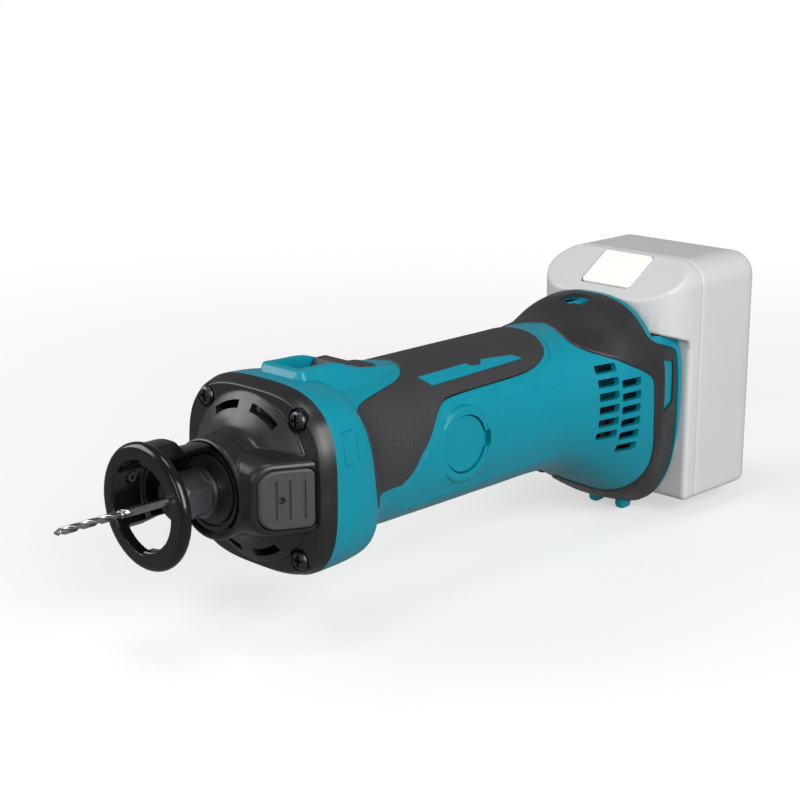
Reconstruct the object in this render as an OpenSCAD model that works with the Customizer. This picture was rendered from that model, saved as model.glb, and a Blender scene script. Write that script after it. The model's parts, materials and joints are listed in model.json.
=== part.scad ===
// Cordless drywall cut-out tool with a slide-on pack, as separate pieces, in millimetres.
// X runs along the spindle to the rear, -Y is the tool's left side and +Z is up.
// The origin is on the spindle axis, in the plane of the depth guide's front face.

/* [Fits] */
// Wall of the housing shells
wall = 2.4; // [1.8:0.1:3.2]
// Clearance round parts that slide or turn
run_gap = 0.35; // [0.3:0.05:0.6]
// Radial clearance of close turning fits
turn_gap = 0.06; // [0.02:0.01:0.1]
// Clearance between parts that are only placed
seat_gap = 0.05; // [0.02:0.01:0.1]

/* [Cutting bit] */
// Shank diameter
bit_d = 3.18; // [2.4:0.01:4]
// Tip ahead of the guide's face
bit_reach = 36; // [20:1:45]
// Whole length
bit_len = 62; // [50:1:72]
// Length of the fluted part
flute_len = 27; // [15:1:32]
// Width of each flute
flute_w = 1.5; // [1:0.1:1.8]
// Depth of each flute
flute_depth = 0.75; // [0.3:0.05:1]
// Step in radius from the free shank to the fluted end and to the held tail
bit_step = 0.2; // [0.18:0.01:0.3]

/* [Collet and nut] */
// Nut's size across flats
nut_af = 16; // [14:0.5:18]
// Nut's front face
nut_x = 13; // [12:0.5:15]
// Length of the nut's hexagon
nut_hex_len = 11.4; // [9:0.1:12]
// Length of the nut's round skirt
nut_skirt_len = 1.6; // [0.8:0.1:2]
// Radius of the collet's nose
collet_nose_r = 4; // [3:0.1:4.4]
// Radius of the collet's shoulder
collet_r = 4.9; // [4.5:0.1:5.2]
// Radius of the collet's tail
collet_tail_r = 3.5; // [3:0.1:3.8]
// Collet length
collet_len = 19; // [16:0.5:20]

/* [Depth guide] */
// Outer radius of the ring
ring_r = 22.7; // [21:0.1:25]
// Ring thickness
ring_t = 4.6; // [3:0.1:6]
// Inner radius of the ring
ring_in_r = 15.2; // [14:0.1:16]
// Inner radius on the arm's side
ring_step_r = 16.8; // [16.2:0.1:17.5]
// Outer radius of the arm
arm_r = 21.5; // [20:0.1:22]
// Where the arm narrows to its sleeve
arm_len = 13; // [10:0.5:16]
// Sleeve left in the collar when the guide is fully out
sleeve_hold = 6.4; // [5:0.1:7]
// Arm's edge past twelve o'clock, on the near side
arm_from = -10; // [-20:1:0]
// Arm's lower edge, from twelve o'clock
arm_to = 127; // [110:1:140]
// Place of the clamp screw along the tool
clamp_x = 35; // [34:0.1:36]
// Radius of the clamp screw
clamp_r = 2.5; // [2:0.1:3]
// Head radius of the clamp screw
clamp_head_r = 4.6; // [4:0.1:5]
// Travel towards the collar
guide_in = 3; // [1:0.5:3.5]
// Travel away from the collar
guide_out = 7; // [4:0.5:7.5]

/* [Front housing] */
// Front rim of the collar
collar_x = 28.6; // [27.5:0.1:30]
// Outer radius of the collar
collar_r = 18.5; // [18.2:0.1:20]
// Outer radius of the guide's groove
groove_ro = 17.6; // [17.3:0.1:17.8]
// Inner radius of the guide's groove
groove_ri = 14.9; // [14:0.1:15.2]
// Front face of the square rim
rim_x = 49; // [48.6:0.1:49.4]
// Outer radius of the dome where it meets the rim
dome_r = 31.7; // [31:0.1:32]
// Inner radius of the dome's air slots
slot_ri = 25.7; // [25.2:0.1:26.2]
// Outer radius of the dome's air slots
slot_ro = 28.6; // [28:0.1:29]
// Angle between the middle plane and each slot
slot_from = 7; // [5:0.5:9]
// Angle of each slot
slot_arc = 29; // [26:0.5:31]
// Plane where the front housing meets the shells
joint_x = 55.6; // [54.8:0.1:57]
// Half width at that plane
flange_w = 38.05; // [36:0.05:40]
// Half height at that plane
flange_h = 35.35; // [34:0.05:37]
// Squareness of the front section
flange_n = 3.1; // [2.6:0.05:3.6]
// Share of the flange's half width at which the front screws sit
screw_out = 0.6439; // [0.63:0.001:0.66]
// Share of the flange's half height at which the front screws sit
screw_up = 0.7214; // [0.71:0.001:0.73]
// Head radius of the front screws
screw_head_r = 3.7; // [3:0.1:4]
// Shank radius of the screws
screw_r = 2; // [1.6:0.1:2.2]

/* [Spindle lock] */
// Front end of the button
lock_x0 = 31.6; // [31:0.1:33]
// Rear end of the button
lock_x1 = 49.4; // [47:0.1:50]
// Half height of the button
lock_h = 10.7; // [9:0.1:11.5]
// Distance from the flange's side edge in to the button's front edge
lock_in = 13.65; // [12.5:0.05:14.5]
// Outward slope of the face, for each millimetre to the rear
lock_slope = 0.53; // [0.4:0.01:0.6]
// Button thickness
lock_t = 5; // [4:0.1:5.5]
// Press
lock_travel = 3.5; // [2:0.1:3.6]
// Pin's place along the spindle
pin_x = 44; // [43:0.1:45]
// Pin radius
pin_r = 2.4; // [1.8:0.1:2.8]

/* [Motor] */
// Spindle radius at the nose and front bearing
spindle_r = 6; // [5:0.1:6.5]
// Radius of the lock collar
lock_collar_r = 8.5; // [8:0.1:9]
// Motor shaft radius
shaft_r = 4; // [3.5:0.1:4.5]
// Outer radius of the front bearing
bearing_f_r = 12; // [11.5:0.1:12.4]
// Width of the front bearing
bearing_f_w = 6; // [5:0.5:6]
// Outer radius of the rear bearing
bearing_r_r = 11; // [10:0.1:12]
// Width of the rear bearing
bearing_r_w = 7; // [6:0.5:8]
// Distance from the brushes back to the rear bearing
bearing_back = 13.8; // [12:0.1:16]
// Front of the fan
fan_x = 53.4; // [53.2:0.1:53.8]
// Fan depth
fan_w = 7; // [6:0.1:7.4]
// Yoke wall
yoke_t = 2.2; // [1.8:0.1:2.4]
// Front of the yoke
yoke_x0 = 66; // [65.6:0.1:67]
// Rear of the yoke
yoke_x1 = 116; // [112:0.5:117]
// Magnet thickness
magnet_t = 3.4; // [2.5:0.1:3.5]
// Air gap between the magnets and the core
air_gap = 0.45; // [0.35:0.05:0.6]
// Front of the lamination stack
core_x0 = 73; // [72:0.5:75]
// Rear of the lamination stack
core_x1 = 109; // [106:0.5:110]
// Commutator radius
comm_r = 11.5; // [10:0.1:12]
// Brush centre along the motor
brush_x = 132.2; // [131.5:0.1:133]
// Brush size along the motor
brush_w = 8; // [6:0.1:9]
// Brush height
brush_h = 6; // [5:0.1:8]
// Radius of the brush caps
cap_r = 11; // [10:0.1:11.2]
// Depth of the cap's face below the barrel's side
cap_in = 1.1; // [0.9:0.05:1.4]

/* [Housing shape] */
// Half width of the barrel
barrel_w = 28.5; // [28.2:0.1:30]
// Height of the barrel above the axis
barrel_t = 30.4; // [30:0.1:32]
// Depth of the barrel below the axis
barrel_b = 29.7; // [29.2:0.1:31]
// Half width of the rear
rear_w = 35.7; // [35.4:0.1:37]
// Height of the rear head
rear_t = 38.8; // [38:0.1:40]
// Depth of the rear foot
rear_b = 58; // [57:0.1:60]
// Rear face of the head
head_x = 243; // [242.5:0.1:244]
// Rear end of the wings beside the pack
wing_x = 262; // [260:0.5:262.2]
// Place of the strap bar
strap_x = 231.5; // [231:0.1:232]
// Height of the strap bar
strap_z = 36; // [35:0.1:37]
// Floor of the strap's recess
strap_floor = 29.8; // [29:0.1:31]
// Half width of the strap's recess
strap_w = 8.5; // [7:0.1:10]
// Front of the vents
vent_x = 208.6; // [207:0.1:210]
// Length of each vent slot
vent_len = 10.4; // [9:0.1:10.8]
// Step between vent slots
vent_step = 5.75; // [5.2:0.05:6.2]
// Height of each vent slot
vent_h = 3.2; // [2:0.1:4]
// Rubber above the shell's surface
rubber_up = 0.7; // [0.3:0.05:1]
// Rubber below the shell's surface
rubber_down = 0.9; // [0.6:0.05:1.2]

/* [Switch] */
// Front of the knob
knob_x = 83.5; // [83:0.1:86]
// Knob length
knob_len = 8.5; // [7:0.1:9]
// Half width of the knob
knob_w = 6.5; // [5:0.1:6.8]
// Top of the knob
knob_top = 36.4; // [35:0.1:37.2]
// Floor of the well
well_floor = 31.4; // [31:0.1:32]
// Half width of the well
well_w = 7.2; // [6.9:0.1:8]
// Front of the well
well_x0 = 66; // [65:0.5:70]
// Rear of the well
well_x1 = 93; // [92.8:0.1:94]
// Switch travel
switch_travel = 8; // [5:0.5:9]
// Half width of the rod
rod_w = 4; // [3:0.1:4.5]
// Underside of the rod
rod_z = 25.5; // [25.45:0.01:25.7]
// Rod thickness
rod_t = 1.2; // [0.8:0.1:1.3]

// Front of the switch unit
unit_x = 168; // [166:0.5:170]
// Length of the switch unit
unit_len = 22; // [18:0.5:24]
// Half width of the switch unit
unit_w = 9; // [8:0.5:11]
// Underside of the switch unit
unit_z = 8; // [6:0.5:9]
// Height of the switch unit
unit_h = 16; // [13:0.1:16.5]
// Front of the thumb rest
thumb_x = 97; // [96:0.1:98]
// Length of the thumb rest
thumb_len = 10; // [8:0.1:11]
// Half width of the thumb rest
thumb_w = 6; // [4:0.1:6.5]

/* [Electronics] */
// Length of the controller board
board_len = 58; // [50:1:59]
// Distance from the board's rear end to the head
board_back = 19; // [17:0.5:24]
// Half width of the controller board
board_w = 19; // [16:0.5:21]
// Thickness of the controller board
board_t = 1.6; // [1.2:0.1:2]
// Top of the controller board
board_z = -10; // [-11:0.1:-9]
// Radius of the leads
lead_r = 1.2; // [0.8:0.1:1.4]
// Half width of the terminal block
block_w = 20; // [18:0.5:22]
// Underside of the terminal block
block_z0 = -36; // [-38:0.5:-34]
// Top of the terminal block
block_z1 = -8; // [-12:0.5:-6]
// Blade thickness
blade_t = 0.8; // [0.6:0.05:1]
// Place of the inner blades across
blade_in = 5; // [4:0.1:6]
// Place of the outer blades across
blade_out = 13; // [11:0.1:14]

/* [Pack] */
// Gap between the head and the pack's tongue
pack_gap = 1.6; // [1.2:0.1:2.5]
// Seam between cover and case
pack_seam = 270; // [268.5:0.1:270.2]
// Back of the pack
pack_x1 = 313; // [311.5:0.1:316]
// Top of the pack
pack_top = 52.5; // [51.8:0.1:54]
// Bottom of the pack
pack_bot = -52; // [-52.4:0.1:-50.5]
// Half width of the tongue between the wings
tongue_w = 30.6; // [30:0.1:30.8]
// Bottom of the tongue
tongue_bot = -46.5; // [-46.8:0.1:-44]
// Front of the rails on the wings
rail_x = 252; // [250:0.1:254]
// Rail thickness
rail_t = 3; // [2:0.1:4]
// Rail height
rail_h = 2; // [1:0.1:2.5]
// Wall of the pack
pack_wall = 2.2; // [1.6:0.1:2.6]
// Radius of the front corners above the wings
pack_corner_f = 18; // [10:1:20]
// Radius of the back corners
pack_corner_b = 9; // [5:0.5:10]
// Thickness of the pack's top and bottom
pack_rim = 5.2; // [5:0.1:5.4]
// Half spacing of the pack screws across
pack_screw_y = 26; // [22:0.5:27]
// Shank radius of the pack screws
pack_screw_r = 1.25; // [1:0.05:1.5]
// Cell radius
cell_r = 9.15; // [9:0.05:9.25]
// Cell length
cell_len = 65; // [60:0.5:66]
// Room at each end of the cells
cell_room = 2.3; // [1.5:0.1:3]
// Half width of the release button
release_w = 13.5; // [10:0.1:14]
// Front edge of the release button along the slope
release_at = 8; // [6:0.5:9]
// Length of the release button along the slope
release_len = 19; // [15:0.5:20]
// Press of the release button
release_travel = 3; // [2:0.1:3.2]

/* [Hidden] */
$fn = 64;
shell_fn = 14;
big = 400;
bit_r = bit_d / 2;
bit_thin_r = bit_r - bit_step;
bit_x0 = -bit_reach;
bit_x1 = bit_x0 + bit_len;
collet_x0 = nut_x - 0.6;
collet_x1 = collet_x0 + collet_len;
nut_x1 = nut_x + nut_hex_len;
nose_x = nut_x + 6;
nut_corner_r = nut_af / sqrt(3);
bearing_f_x = collar_x + 2.6;
bearing_f_x1 = bearing_f_x + bearing_f_w;
shoulder_x = bearing_f_x1 + 1.6;
lock_collar_x0 = shoulder_x + 0.8;
lock_collar_x1 = pin_x + pin_r + 2;
tube_end = lock_collar_x1 + 0.6;
sleeve_end = collar_x + guide_out + sleeve_hold;
groove_end = sleeve_end + guide_in + 1;
clamp_seat = collar_r + 3.5;
screw_y = flange_w * screw_out;
screw_z = flange_h * screw_up;
lock_y0 = lock_in - flange_w;
sleeve_ri = groove_ri + run_gap;
sleeve_ro = groove_ro - run_gap;
baffle_x = fan_x + fan_w + 2;
baffle_r = min(flange_w, flange_h) - wall - 1.95;
fan_r = baffle_r - 5;
bearing_r_x = brush_x + bearing_back;
shaft_x1 = bearing_r_x + bearing_r_w + 2;
cap_y = barrel_w - cap_in;
yoke_r = min(barrel_w, barrel_b) - wall - 1.1;
yoke_ri = yoke_r - yoke_t;
magnet_ro = yoke_ri - seat_gap;
magnet_ri = magnet_ro - magnet_t;
core_r = magnet_ri - air_gap;
board_x = head_x - board_back - board_len;
lead_z = -12;
boss_r = 3.4;
thumb_floor = well_floor - 0.4;
hs_r = 1.9;
hs_head_r = 3.6;
hs_head_y = 18;
spring_y = blade_t / 2 + 0.9;
BLADES = [-blade_out, -blade_in, blade_in, blade_out];
pack_x0 = head_x + pack_gap;
pack_w = cell_len / 2 + cell_room + pack_wall;
slope_x1 = pack_seam + 14;
slope_z0 = 37.5;
cell_step = 2 * cell_r + 0.5;
cell_z = (pack_top + pack_bot) / 2;
cell_x = pack_x1 - pack_wall - run_gap - cell_r;
cover_roof = slope_z0 - 3.5;
slope_a = atan2(pack_top - slope_z0, slope_x1 - pack_x0);

// Housing sections: place, half width, height, depth, upper and lower squareness, lean
ST = [
  [joint_x, flange_w, flange_h, flange_h, flange_n, flange_n, 0],
  [joint_x + 3, flange_w, flange_h, flange_h, flange_n, flange_n, 0],
  [70, flange_w - 0.8, flange_h - 0.7, flange_h - 0.7, flange_n, flange_n, 0.06],
  [76.5, flange_w - 2.4, flange_h - 1.8, flange_h - 2, 2.85, 2.95, 0.12],
  [81, min(barrel_w + 2.9, flange_w - 4), barrel_t + 1.1, barrel_b + 1.2, 2.4, 2.5, 0.14],
  [87, barrel_w + 0.4, barrel_t + 0.2, barrel_b + 0.2, 2.2, 2.25, 0.13],
  [104, barrel_w, barrel_t, barrel_b + 0.1, 2.15, 2.2, 0.05],
  [130, barrel_w, barrel_t, barrel_b, 2.15, 2.2, 0],
  [165, barrel_w + 0.3, barrel_t, barrel_b - 0.4, 2.15, 2.2, 0],
  [190, barrel_w + 1.3, barrel_t - 0.2, barrel_b - 0.6, 2.2, 2.2, 0],
  [205, barrel_w + 3.3, barrel_t - 0.4, barrel_b + 1.2, 2.3, 2.3, 0],
  [217, rear_w - 2.1, barrel_t + 0.8, rear_b - 21.4, 2.4, 2.4, 0],
  [230, rear_w - 0.7, rear_t - 2.2, rear_b - 14.2, 2.5, 2.5, 0],
  [head_x, rear_w - 0.1, rear_t, rear_b - 7, 2.5, 2.6, 0],
  [wing_x, rear_w, rear_t, rear_b, 2.5, 2.6, 0]
];
// Grip outline: angle up from the side, front edge, rear edge
GRIP = [
  [-14, 78.5, 97], [-8, 77, 102], [0, 76.4, 106.5], [12, 76.4, 113], [22, 76.8, 117],
  [31, 77.6, 121.5], [35.6, 78.8, 127], [37.2, 79.4, 140], [38, 79.8, 160], [39.4, 80.6, 172],
  [44, 83.4, 181], [50, 88.5, 186.5], [56, 99, 189.5], [62, 109.5, 191], [70, 115, 192.5],
  [80, 118, 193.6], [90, 119, 194]
];
// Rear edges of the bumper on the head, on the wings and low on the wings
edge_h = head_x - 2.6;
edge_w = wing_x - 3;
edge_l = wing_x - 0.8;
// Bumper outline: angle up from the side, front edge, rear edge
BUMPER = [
  [90, 209.5, edge_h], [78, 207, edge_h], [66, 204.6, edge_h], [54, 205, edge_h], [45, 209, edge_h],
  [38, 214, edge_h + 0.2], [33, 217.5, edge_h + 3.6], [28, 221, edge_w - 6.5],
  [24, 223.4, edge_w - 1], [18, 228, edge_w],
  [12, 234.5, edge_w], [8, 238.6, edge_w], [3, 239.8, edge_w + 0.2], [-10, 241, edge_w + 0.9],
  [-22, 243, edge_w + 1.8], [-33, 243.6, edge_l], [-48, 241, edge_l], [-62, 238, edge_l],
  [-74, 234, edge_l], [-82, 226, edge_l], [-90, 219, edge_l]
];
// Switch guard: place, half width at the foot, half width at the top, top
HUMP = [
  [joint_x + 1, 14.5, 12.6, 35.8], [60.5, 14.5, 11.5, 37.7], [68, 14.2, 10.6, 38], [83, 13.6, 10, 37.4],
  [95, 12.4, 9.2, 33.4], [106, 10.6, 8.2, 31.7], [118, 8, 6, 30]
];
// Housing screws: place along the tool, height
HS = [
  [122.6, 20.4], [122.6, -20.4], [158.6, 14.5], [158.6, -19.6],
  [200, 20], [200, -19.6], [222, 21.5], [234, -40.5]
];

// Corner radius of a many-sided hole that clears a round part
function clear_r(r) = r / cos(180 / shell_fn);
function flat_pow(v, p) = sign(v) * pow(abs(v), p);
function seg(t, x) = max([for (k = [0:len(t) - 2]) if (k == 0 || t[k][0] <= x) k]);
function slope(t, i) =
  let (a = max(i - 1, 0), b = min(i + 1, len(t) - 1)) (t[b] - t[a]) / (t[b][0] - t[a][0]);
// Smooth row of a table at a place along it, as a cubic through the rows
function smooth(t, x) =
  let (i = seg(t, x), h = t[i + 1][0] - t[i][0], s = (x - t[i][0]) / h)
  (2 * s * s * s - 3 * s * s + 1) * t[i] + (s * s * s - 2 * s * s + s) * h * slope(t, i)
  + (3 * s * s - 2 * s * s * s) * t[i + 1] + (s * s * s - s * s) * h * slope(t, i + 1);
// Point of the housing's surface at a place and an angle, moved out by a distance
function skin(x, a, out) =
  let (
    r = smooth(ST, x),
    c = cos(a),
    s = sin(a),
    p = 2 / (s >= 0 ? r[4] : r[5]),
    y = -(r[1] + out) * flat_pow(c, p),
    z = ((s >= 0 ? r[2] : r[3]) + out) * flat_pow(s, p)
  ) [x - r[6] * z, y, z];
function loft_faces(m, k) = concat(
  [[for (j = [0:k - 1]) k - 1 - j]],
  [for (i = [0:m - 1]) for (j = [0:k - 1]) [i * k + j, i * k + (j + 1) % k, (i + 1) * k + (j + 1) % k]],
  [for (i = [0:m - 1]) for (j = [0:k - 1]) [i * k + j, (i + 1) * k + (j + 1) % k, (i + 1) * k + j]],
  [[for (j = [0:k - 1]) m * k + j]]
);
function ring_places(x0, x1) = concat([x0], [for (x = RINGS) if (x > x0 + 0.4 && x < x1 - 0.4) x], [x1]);
RINGS = concat(
  [joint_x + 3, 66, 70, 74, 76.5, 79, 81, 84, 87, 92], [104, 117, 130, 148, 165, 178],
  [190, 198, 205, 211, 217, 223.5, 230, 236, head_x, 252]
);

// Solid of the housing's outline, grown by out
module body(out, x0, x1, k) {
  xs = ring_places(x0, x1);
  m = len(xs) - 1;
  polyhedron(
    [for (x = xs) for (j = [0:k - 1]) skin(x, 360 * j / k, out)],
    loft_faces(m, k)
  );
}

// Rubber piece that follows the surface inside an outline, on the left side
module patch(t, n) {
  m = len(t) - 1;
  k = 2 * (n + 1);
  pts = [
    for (r = t) each concat(
      [for (j = [0:n]) skin(r[1] + (r[2] - r[1]) * j / n, r[0], rubber_up)],
      [for (j = [n:-1:0]) skin(r[1] + (r[2] - r[1]) * j / n, r[0], -rubber_down)]
    )
  ];
  caps = [
    for (e = [0, m]) for (j = [0:n - 1])
      let (q = [e * k + j, e * k + j + 1, e * k + k - 2 - j, e * k + k - 1 - j])
      e == 0 ? [q[3], q[2], q[1], q[0]] : q
  ];
  sides = [
    for (i = [0:m - 1]) for (j = [0:k - 1])
      let (a = i * k + j, b = i * k + (j + 1) % k)
      [[a, b, b + k], [a, b + k, a + k]]
  ];
  flip = t[0][0] < t[len(t) - 1][0];
  all_faces = concat(
    [for (q = caps) each [[q[0], q[1], q[2]], [q[0], q[2], q[3]]]],
    [for (q = sides) each q]
  );
  polyhedron(pts, [for (f = all_faces) flip ? [f[2], f[1], f[0]] : f]);
}

module xcyl(x0, x1, r) {
  translate([x0, 0, 0]) rotate([0, 90, 0]) cylinder(h = x1 - x0, r = r);
}

module xtube(x0, x1, ro, ri) {
  difference() {
    xcyl(x0, x1, ro);
    xcyl(x0 - 1, x1 + 1, ri);
  }
}

// Profile of a plain ring: radii, then places along X
function ring_profile(ri, ro, x0, x1) = [[ri, x0], [ro, x0], [ro, x1], [ri, x1]];

// Turned about the spindle: points are radius, then place along X
module xturn(p) {
  rotate([0, 90, 0]) rotate_extrude() polygon(p);
}

// The same for an arc that starts at an angle from twelve o'clock towards +Y
module xturn_arc(p, from, to) {
  rotate([180 - to, 0, 0]) rotate([0, 90, 0]) rotate_extrude(angle = to - from) polygon(p);
}

module ycyl(x, z, y0, y1, r) {
  translate([x, y0, z]) rotate([-90, 0, 0]) cylinder(h = y1 - y0, r = r);
}

module box(x0, x1, y0, y1, z0, z1) {
  translate([x0, y0, z0]) cube([x1 - x0, y1 - y0, z1 - z0]);
}

// Box on one side of the middle plane, from one distance out to another
module side_box(side, x0, x1, d0, d1, z0, z1) {
  box(x0, x1, side < 0 ? -d1 : d0, side < 0 ? -d0 : d1, z0, z1);
}

// Cylinder across one side, from one distance out to another
module side_cyl(side, x, z, d0, d1, r) {
  ycyl(x, z, side < 0 ? -d1 : d0, side < 0 ? -d0 : d1, r);
}

// Seven points of an arc
function arc_pts(cx, cy, r, a0, a1) = [
  for (i = [0:6]) let (a = a0 + (a1 - a0) * i / 6) [cx + r * cos(a), cy + r * sin(a)]
];
// Rounded rectangle with one radius at its low X end and one at its high X end
function rrect(x0, x1, y0, y1, ra, rb) = concat(
  arc_pts(x0 + ra, y0 + ra, ra, 180, 270), arc_pts(x1 - rb, y0 + rb, rb, 270, 360),
  arc_pts(x1 - rb, y1 - rb, rb, 0, 90), arc_pts(x0 + ra, y1 - ra, ra, 90, 180)
);

function unit(v) = v / norm(v);
// Direction of a path at one of its points
function heading(p, i) =
  unit((i == 0 ? [0, 0, 0] : unit(p[i] - p[i - 1])) + (i == len(p) - 1 ? [0, 0, 0] : unit(p[i + 1] - p[i])));

// Eight-sided wire along a path
module wire(p, r) {
  pts = [
    for (i = [0:len(p) - 1])
      let (t = heading(p, i), a = unit(cross([0, 0, 1], t)), b = cross(a, t))
      each [for (j = [0:7]) p[i] + r * (cos(45 * j) * a + sin(45 * j) * b)]
  ];
  polyhedron(pts, loft_faces(len(p) - 1, 8));
}

// One turn of a spring, as a ring
module spring_ring(r, wire_r) {
  rotate_extrude() translate([r, 0]) circle(r = wire_r, $fn = 16);
}

module half(side) {
  translate([-100, side < 0 ? -200 : 0, -200]) cube([500, 200, 400]);
}

module mirrored(side) {
  if (side < 0) children();
  else mirror([0, 1, 0]) children();
}

// Guard round the switch, as a chain of slices along the top
module hump() {
  for (i = [0:len(HUMP) - 2]) {
    hull() {
      for (k = [i, i + 1]) {
        h = HUMP[k];
        translate([h[0] - 0.01, -h[1], 24]) cube([0.02, 2 * h[1], 6]);
        translate([h[0] - 0.01, -h[2], 28]) cube([0.02, 2 * h[2], h[3] - 28]);
      }
    }
  }
}

module vent_slot(x, z) {
  hull() {
    box(x, x + 1, -60, -20, z - vent_h / 2, z + vent_h / 2);
    box(x + vent_len - 1, x + vent_len, -60, -20, z - vent_h / 2, z + vent_h / 2);
  }
}

module vents() {
  for (k = [0:5]) {
    vent_slot(vent_x, 14.8 - vent_step * k);
    vent_slot(vent_x + vent_len + 2, 8.2 - (vent_step + 0.25) * k);
  }
}

module island() {
  rotate([35.5, 0, 0])
    translate([0, 0, 20])
      linear_extrude(height = 20)
        polygon([
          [118, 2.8], [121.8, -2.6], [174.3, -1.2], [170.6, 1.7],
          [154.2, 3.5], [151.5, 0.9], [147, 1.5], [144.9, 3.5]
        ]);
}

module grip_solid() {
  difference() {
    patch(GRIP, 10);
    island();
  }
}

module bumper_solid() {
  difference() {
    patch(BUMPER, 5);
    box(strap_x - 4.5, strap_x + 4.5, -strap_w - 0.6, 1, strap_floor, 60);
  }
}

// Rings inside the shell that hold a round part
module seat(x0, x1, r) {
  difference() {
    intersection() {
      body(-wall + 0.7, joint_x, wing_x, 32);
      box(x0, x1, -60, 60, -70, 60);
    }
    xcyl(x0 - 1, x1 + 1, clear_r(r));
  }
}

// Outline of the pack's tongue, seen along the tool and grown by g
module tongue(x0, x1, g) {
  t = tongue_w + g;
  b = tongue_bot - g;
  translate([x0, 0, 0])
    rotate([90, 0, 90])
      linear_extrude(height = x1 - x0)
        polygon([
          [-t, 30], [-t, b + 18.5], [-t + 3.1, b + 11.5], [-t + 9.1, b + 5], [-t + 17.6, b],
          [t - 17.6, b], [t - 9.1, b + 5], [t - 3.1, b + 11.5], [t, b + 18.5], [t, 30]
        ]);
}

module pack_space() {
  tongue(head_x, big, run_gap);
  rotate([90, 0, 0])
    linear_extrude(height = 200, center = true)
      polygon([[head_x, 25], [wing_x + 0.5, 19], [big, 19], [big, 90], [head_x, 90]]);
}

// Ribs that hold the switch unit and rails that hold the controller board
module inner_ribs() {
  difference() {
    for (x = [unit_x + 3, unit_x + unit_len - 4.6])
      box(x, x + 1.6, -60, 60, unit_z - 2, unit_z + unit_h - 4);
    box(unit_x, unit_x + unit_len, -unit_w - seat_gap, unit_w + seat_gap, unit_z - 5, unit_z + unit_h);
  }
  difference() {
    for (s = [-1, 1])
      side_box(s, board_x + 6, board_x + board_len - 4, board_w - 1, 60, board_z - 3.2, board_z + 1.6);
    box(
      board_x, board_x + board_len, -board_w - seat_gap, board_w + seat_gap,
      board_z - board_t - seat_gap, board_z + seat_gap
    );
  }
}

module shell_solid() {
  $fn = shell_fn;
  difference() {
    union() {
      difference() {
        body(0, joint_x, wing_x, 44);
        body(-wall, joint_x - 5, wing_x + 5, 32);
      }
      difference() {
        hump();
        body(-wall, joint_x - 1, 200, 32);
      }
      intersection() {
        body(-0.9, joint_x, wing_x, 32);
        union() {
          box(head_x - 3, head_x, -60, 60, -70, 60);
          box(head_x - 2, wing_x, -60, 60, -70, 40);
          box(strap_x - 7, strap_x + 7, -strap_w - 2.5, strap_w + 2.5, strap_floor - 2.2, 60);
        }
      }
      seat(baffle_x, baffle_x + 3.4, baffle_r + seat_gap);
      seat(74, 76, yoke_r + seat_gap);
      seat(106, 108, yoke_r + seat_gap);
      seat(bearing_r_x - 1, bearing_r_x + bearing_r_w + 1, bearing_r_r + seat_gap);
      box(254, wing_x, -9, 9, -rear_b - 2, -rear_b + 2);
      for (s = [-1, 1]) {
        side_cyl(s, brush_x, 0.3, cap_y - 6.4, cap_y + 0.6, cap_r + 3);
        for (z = [-1, 1])
          translate([0, s * screw_y, z * screw_z]) xcyl(joint_x, joint_x + 14, screw_r + 2.2);
      }
      intersection() {
        body(-0.9, joint_x, wing_x, 32);
        inner_ribs();
      }
      intersection() {
        body(-0.9, joint_x, wing_x, 32);
        for (p = HS) {
          ycyl(p[0], p[1], -23, 23, boss_r);
          ycyl(p[0], p[1], hs_head_y - 6, 40, 5.4);
        }
      }
    }
    pack_space_cut();
    grips_and_bumpers();
    vents();
    mirror([0, 1, 0]) vents();
    box(strap_x - 4.5, strap_x + 4.5, -strap_w, strap_w, strap_floor, 60);
    box(well_x0, well_x1, -well_w, well_w, well_floor, 60);
    box(knob_x - switch_travel - 1, well_x1 - 1, -3.2, 3.2, 20, 40);
    box(thumb_x, thumb_x + thumb_len, -thumb_w, thumb_w, thumb_floor, 60);
    box(
      knob_x - switch_travel - 2, unit_x + 2, -rod_w - 0.6, rod_w + 0.6,
      rod_z - 0.4, rod_z + rod_t + 0.6
    );
    for (s = [-1, 1]) {
      side_cyl(s, brush_x, 0.3, cap_y - 2.4, 60, clear_r(cap_r + seat_gap));
      side_box(s, brush_x + cap_r - 1, brush_x + cap_r + 2.6, cap_y - 1.6, 60, -3, 3.4);
      side_box(s, brush_x - 6, brush_x + 6, cap_y - 7.4, 60, -5, 5);
      for (z = [-1, 1])
        translate([0, s * screw_y, z * screw_z])
          xcyl(joint_x - 1, joint_x + 13, clear_r(screw_r + seat_gap));
      translate([0, s * 17, lead_z])
        xcyl(bearing_r_x - 3, bearing_r_x + bearing_r_w + 3, clear_r(lead_r + 1));
    }
    for (p = HS) {
      ycyl(p[0], p[1], -16.5, 30, clear_r(hs_r + seat_gap));
      ycyl(p[0], p[1], hs_head_y, 60, clear_r(hs_head_r + 0.2));
    }
    box(
      head_x - 12, head_x + 1, -block_w - seat_gap, block_w + seat_gap,
      block_z0 - seat_gap, block_z1 + seat_gap
    );
    xcyl(joint_x - 1, baffle_x, baffle_r);
  }
  ycyl(strap_x, strap_z, -strap_w - 0.5, strap_w + 0.5, 1.5, $fn = 12);
}

module pack_space_cut() {
  difference() {
    pack_space();
    for (s = [-1, 1])
      side_box(s, rail_x, rail_x + rail_t, tongue_w - rail_h, big, -26, 15);
  }
}

module grips_and_bumpers() {
  for (s = [-1, 1]) mirrored(s) {
    grip_solid();
    bumper_solid();
  }
}

module housing_half(side) {
  intersection() {
    shell_solid();
    half(side);
  }
}

module housing_left() color("#008996") housing_half(-1);
module housing_right() color("#008996") housing_half(1);

module grip(side) {
  intersection() {
    difference() {
      mirrored(side) grip_solid();
      for (p = HS) ycyl(p[0], p[1], hs_head_y, 60, hs_head_r + 0.4);
    }
    half(side);
  }
}

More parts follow.
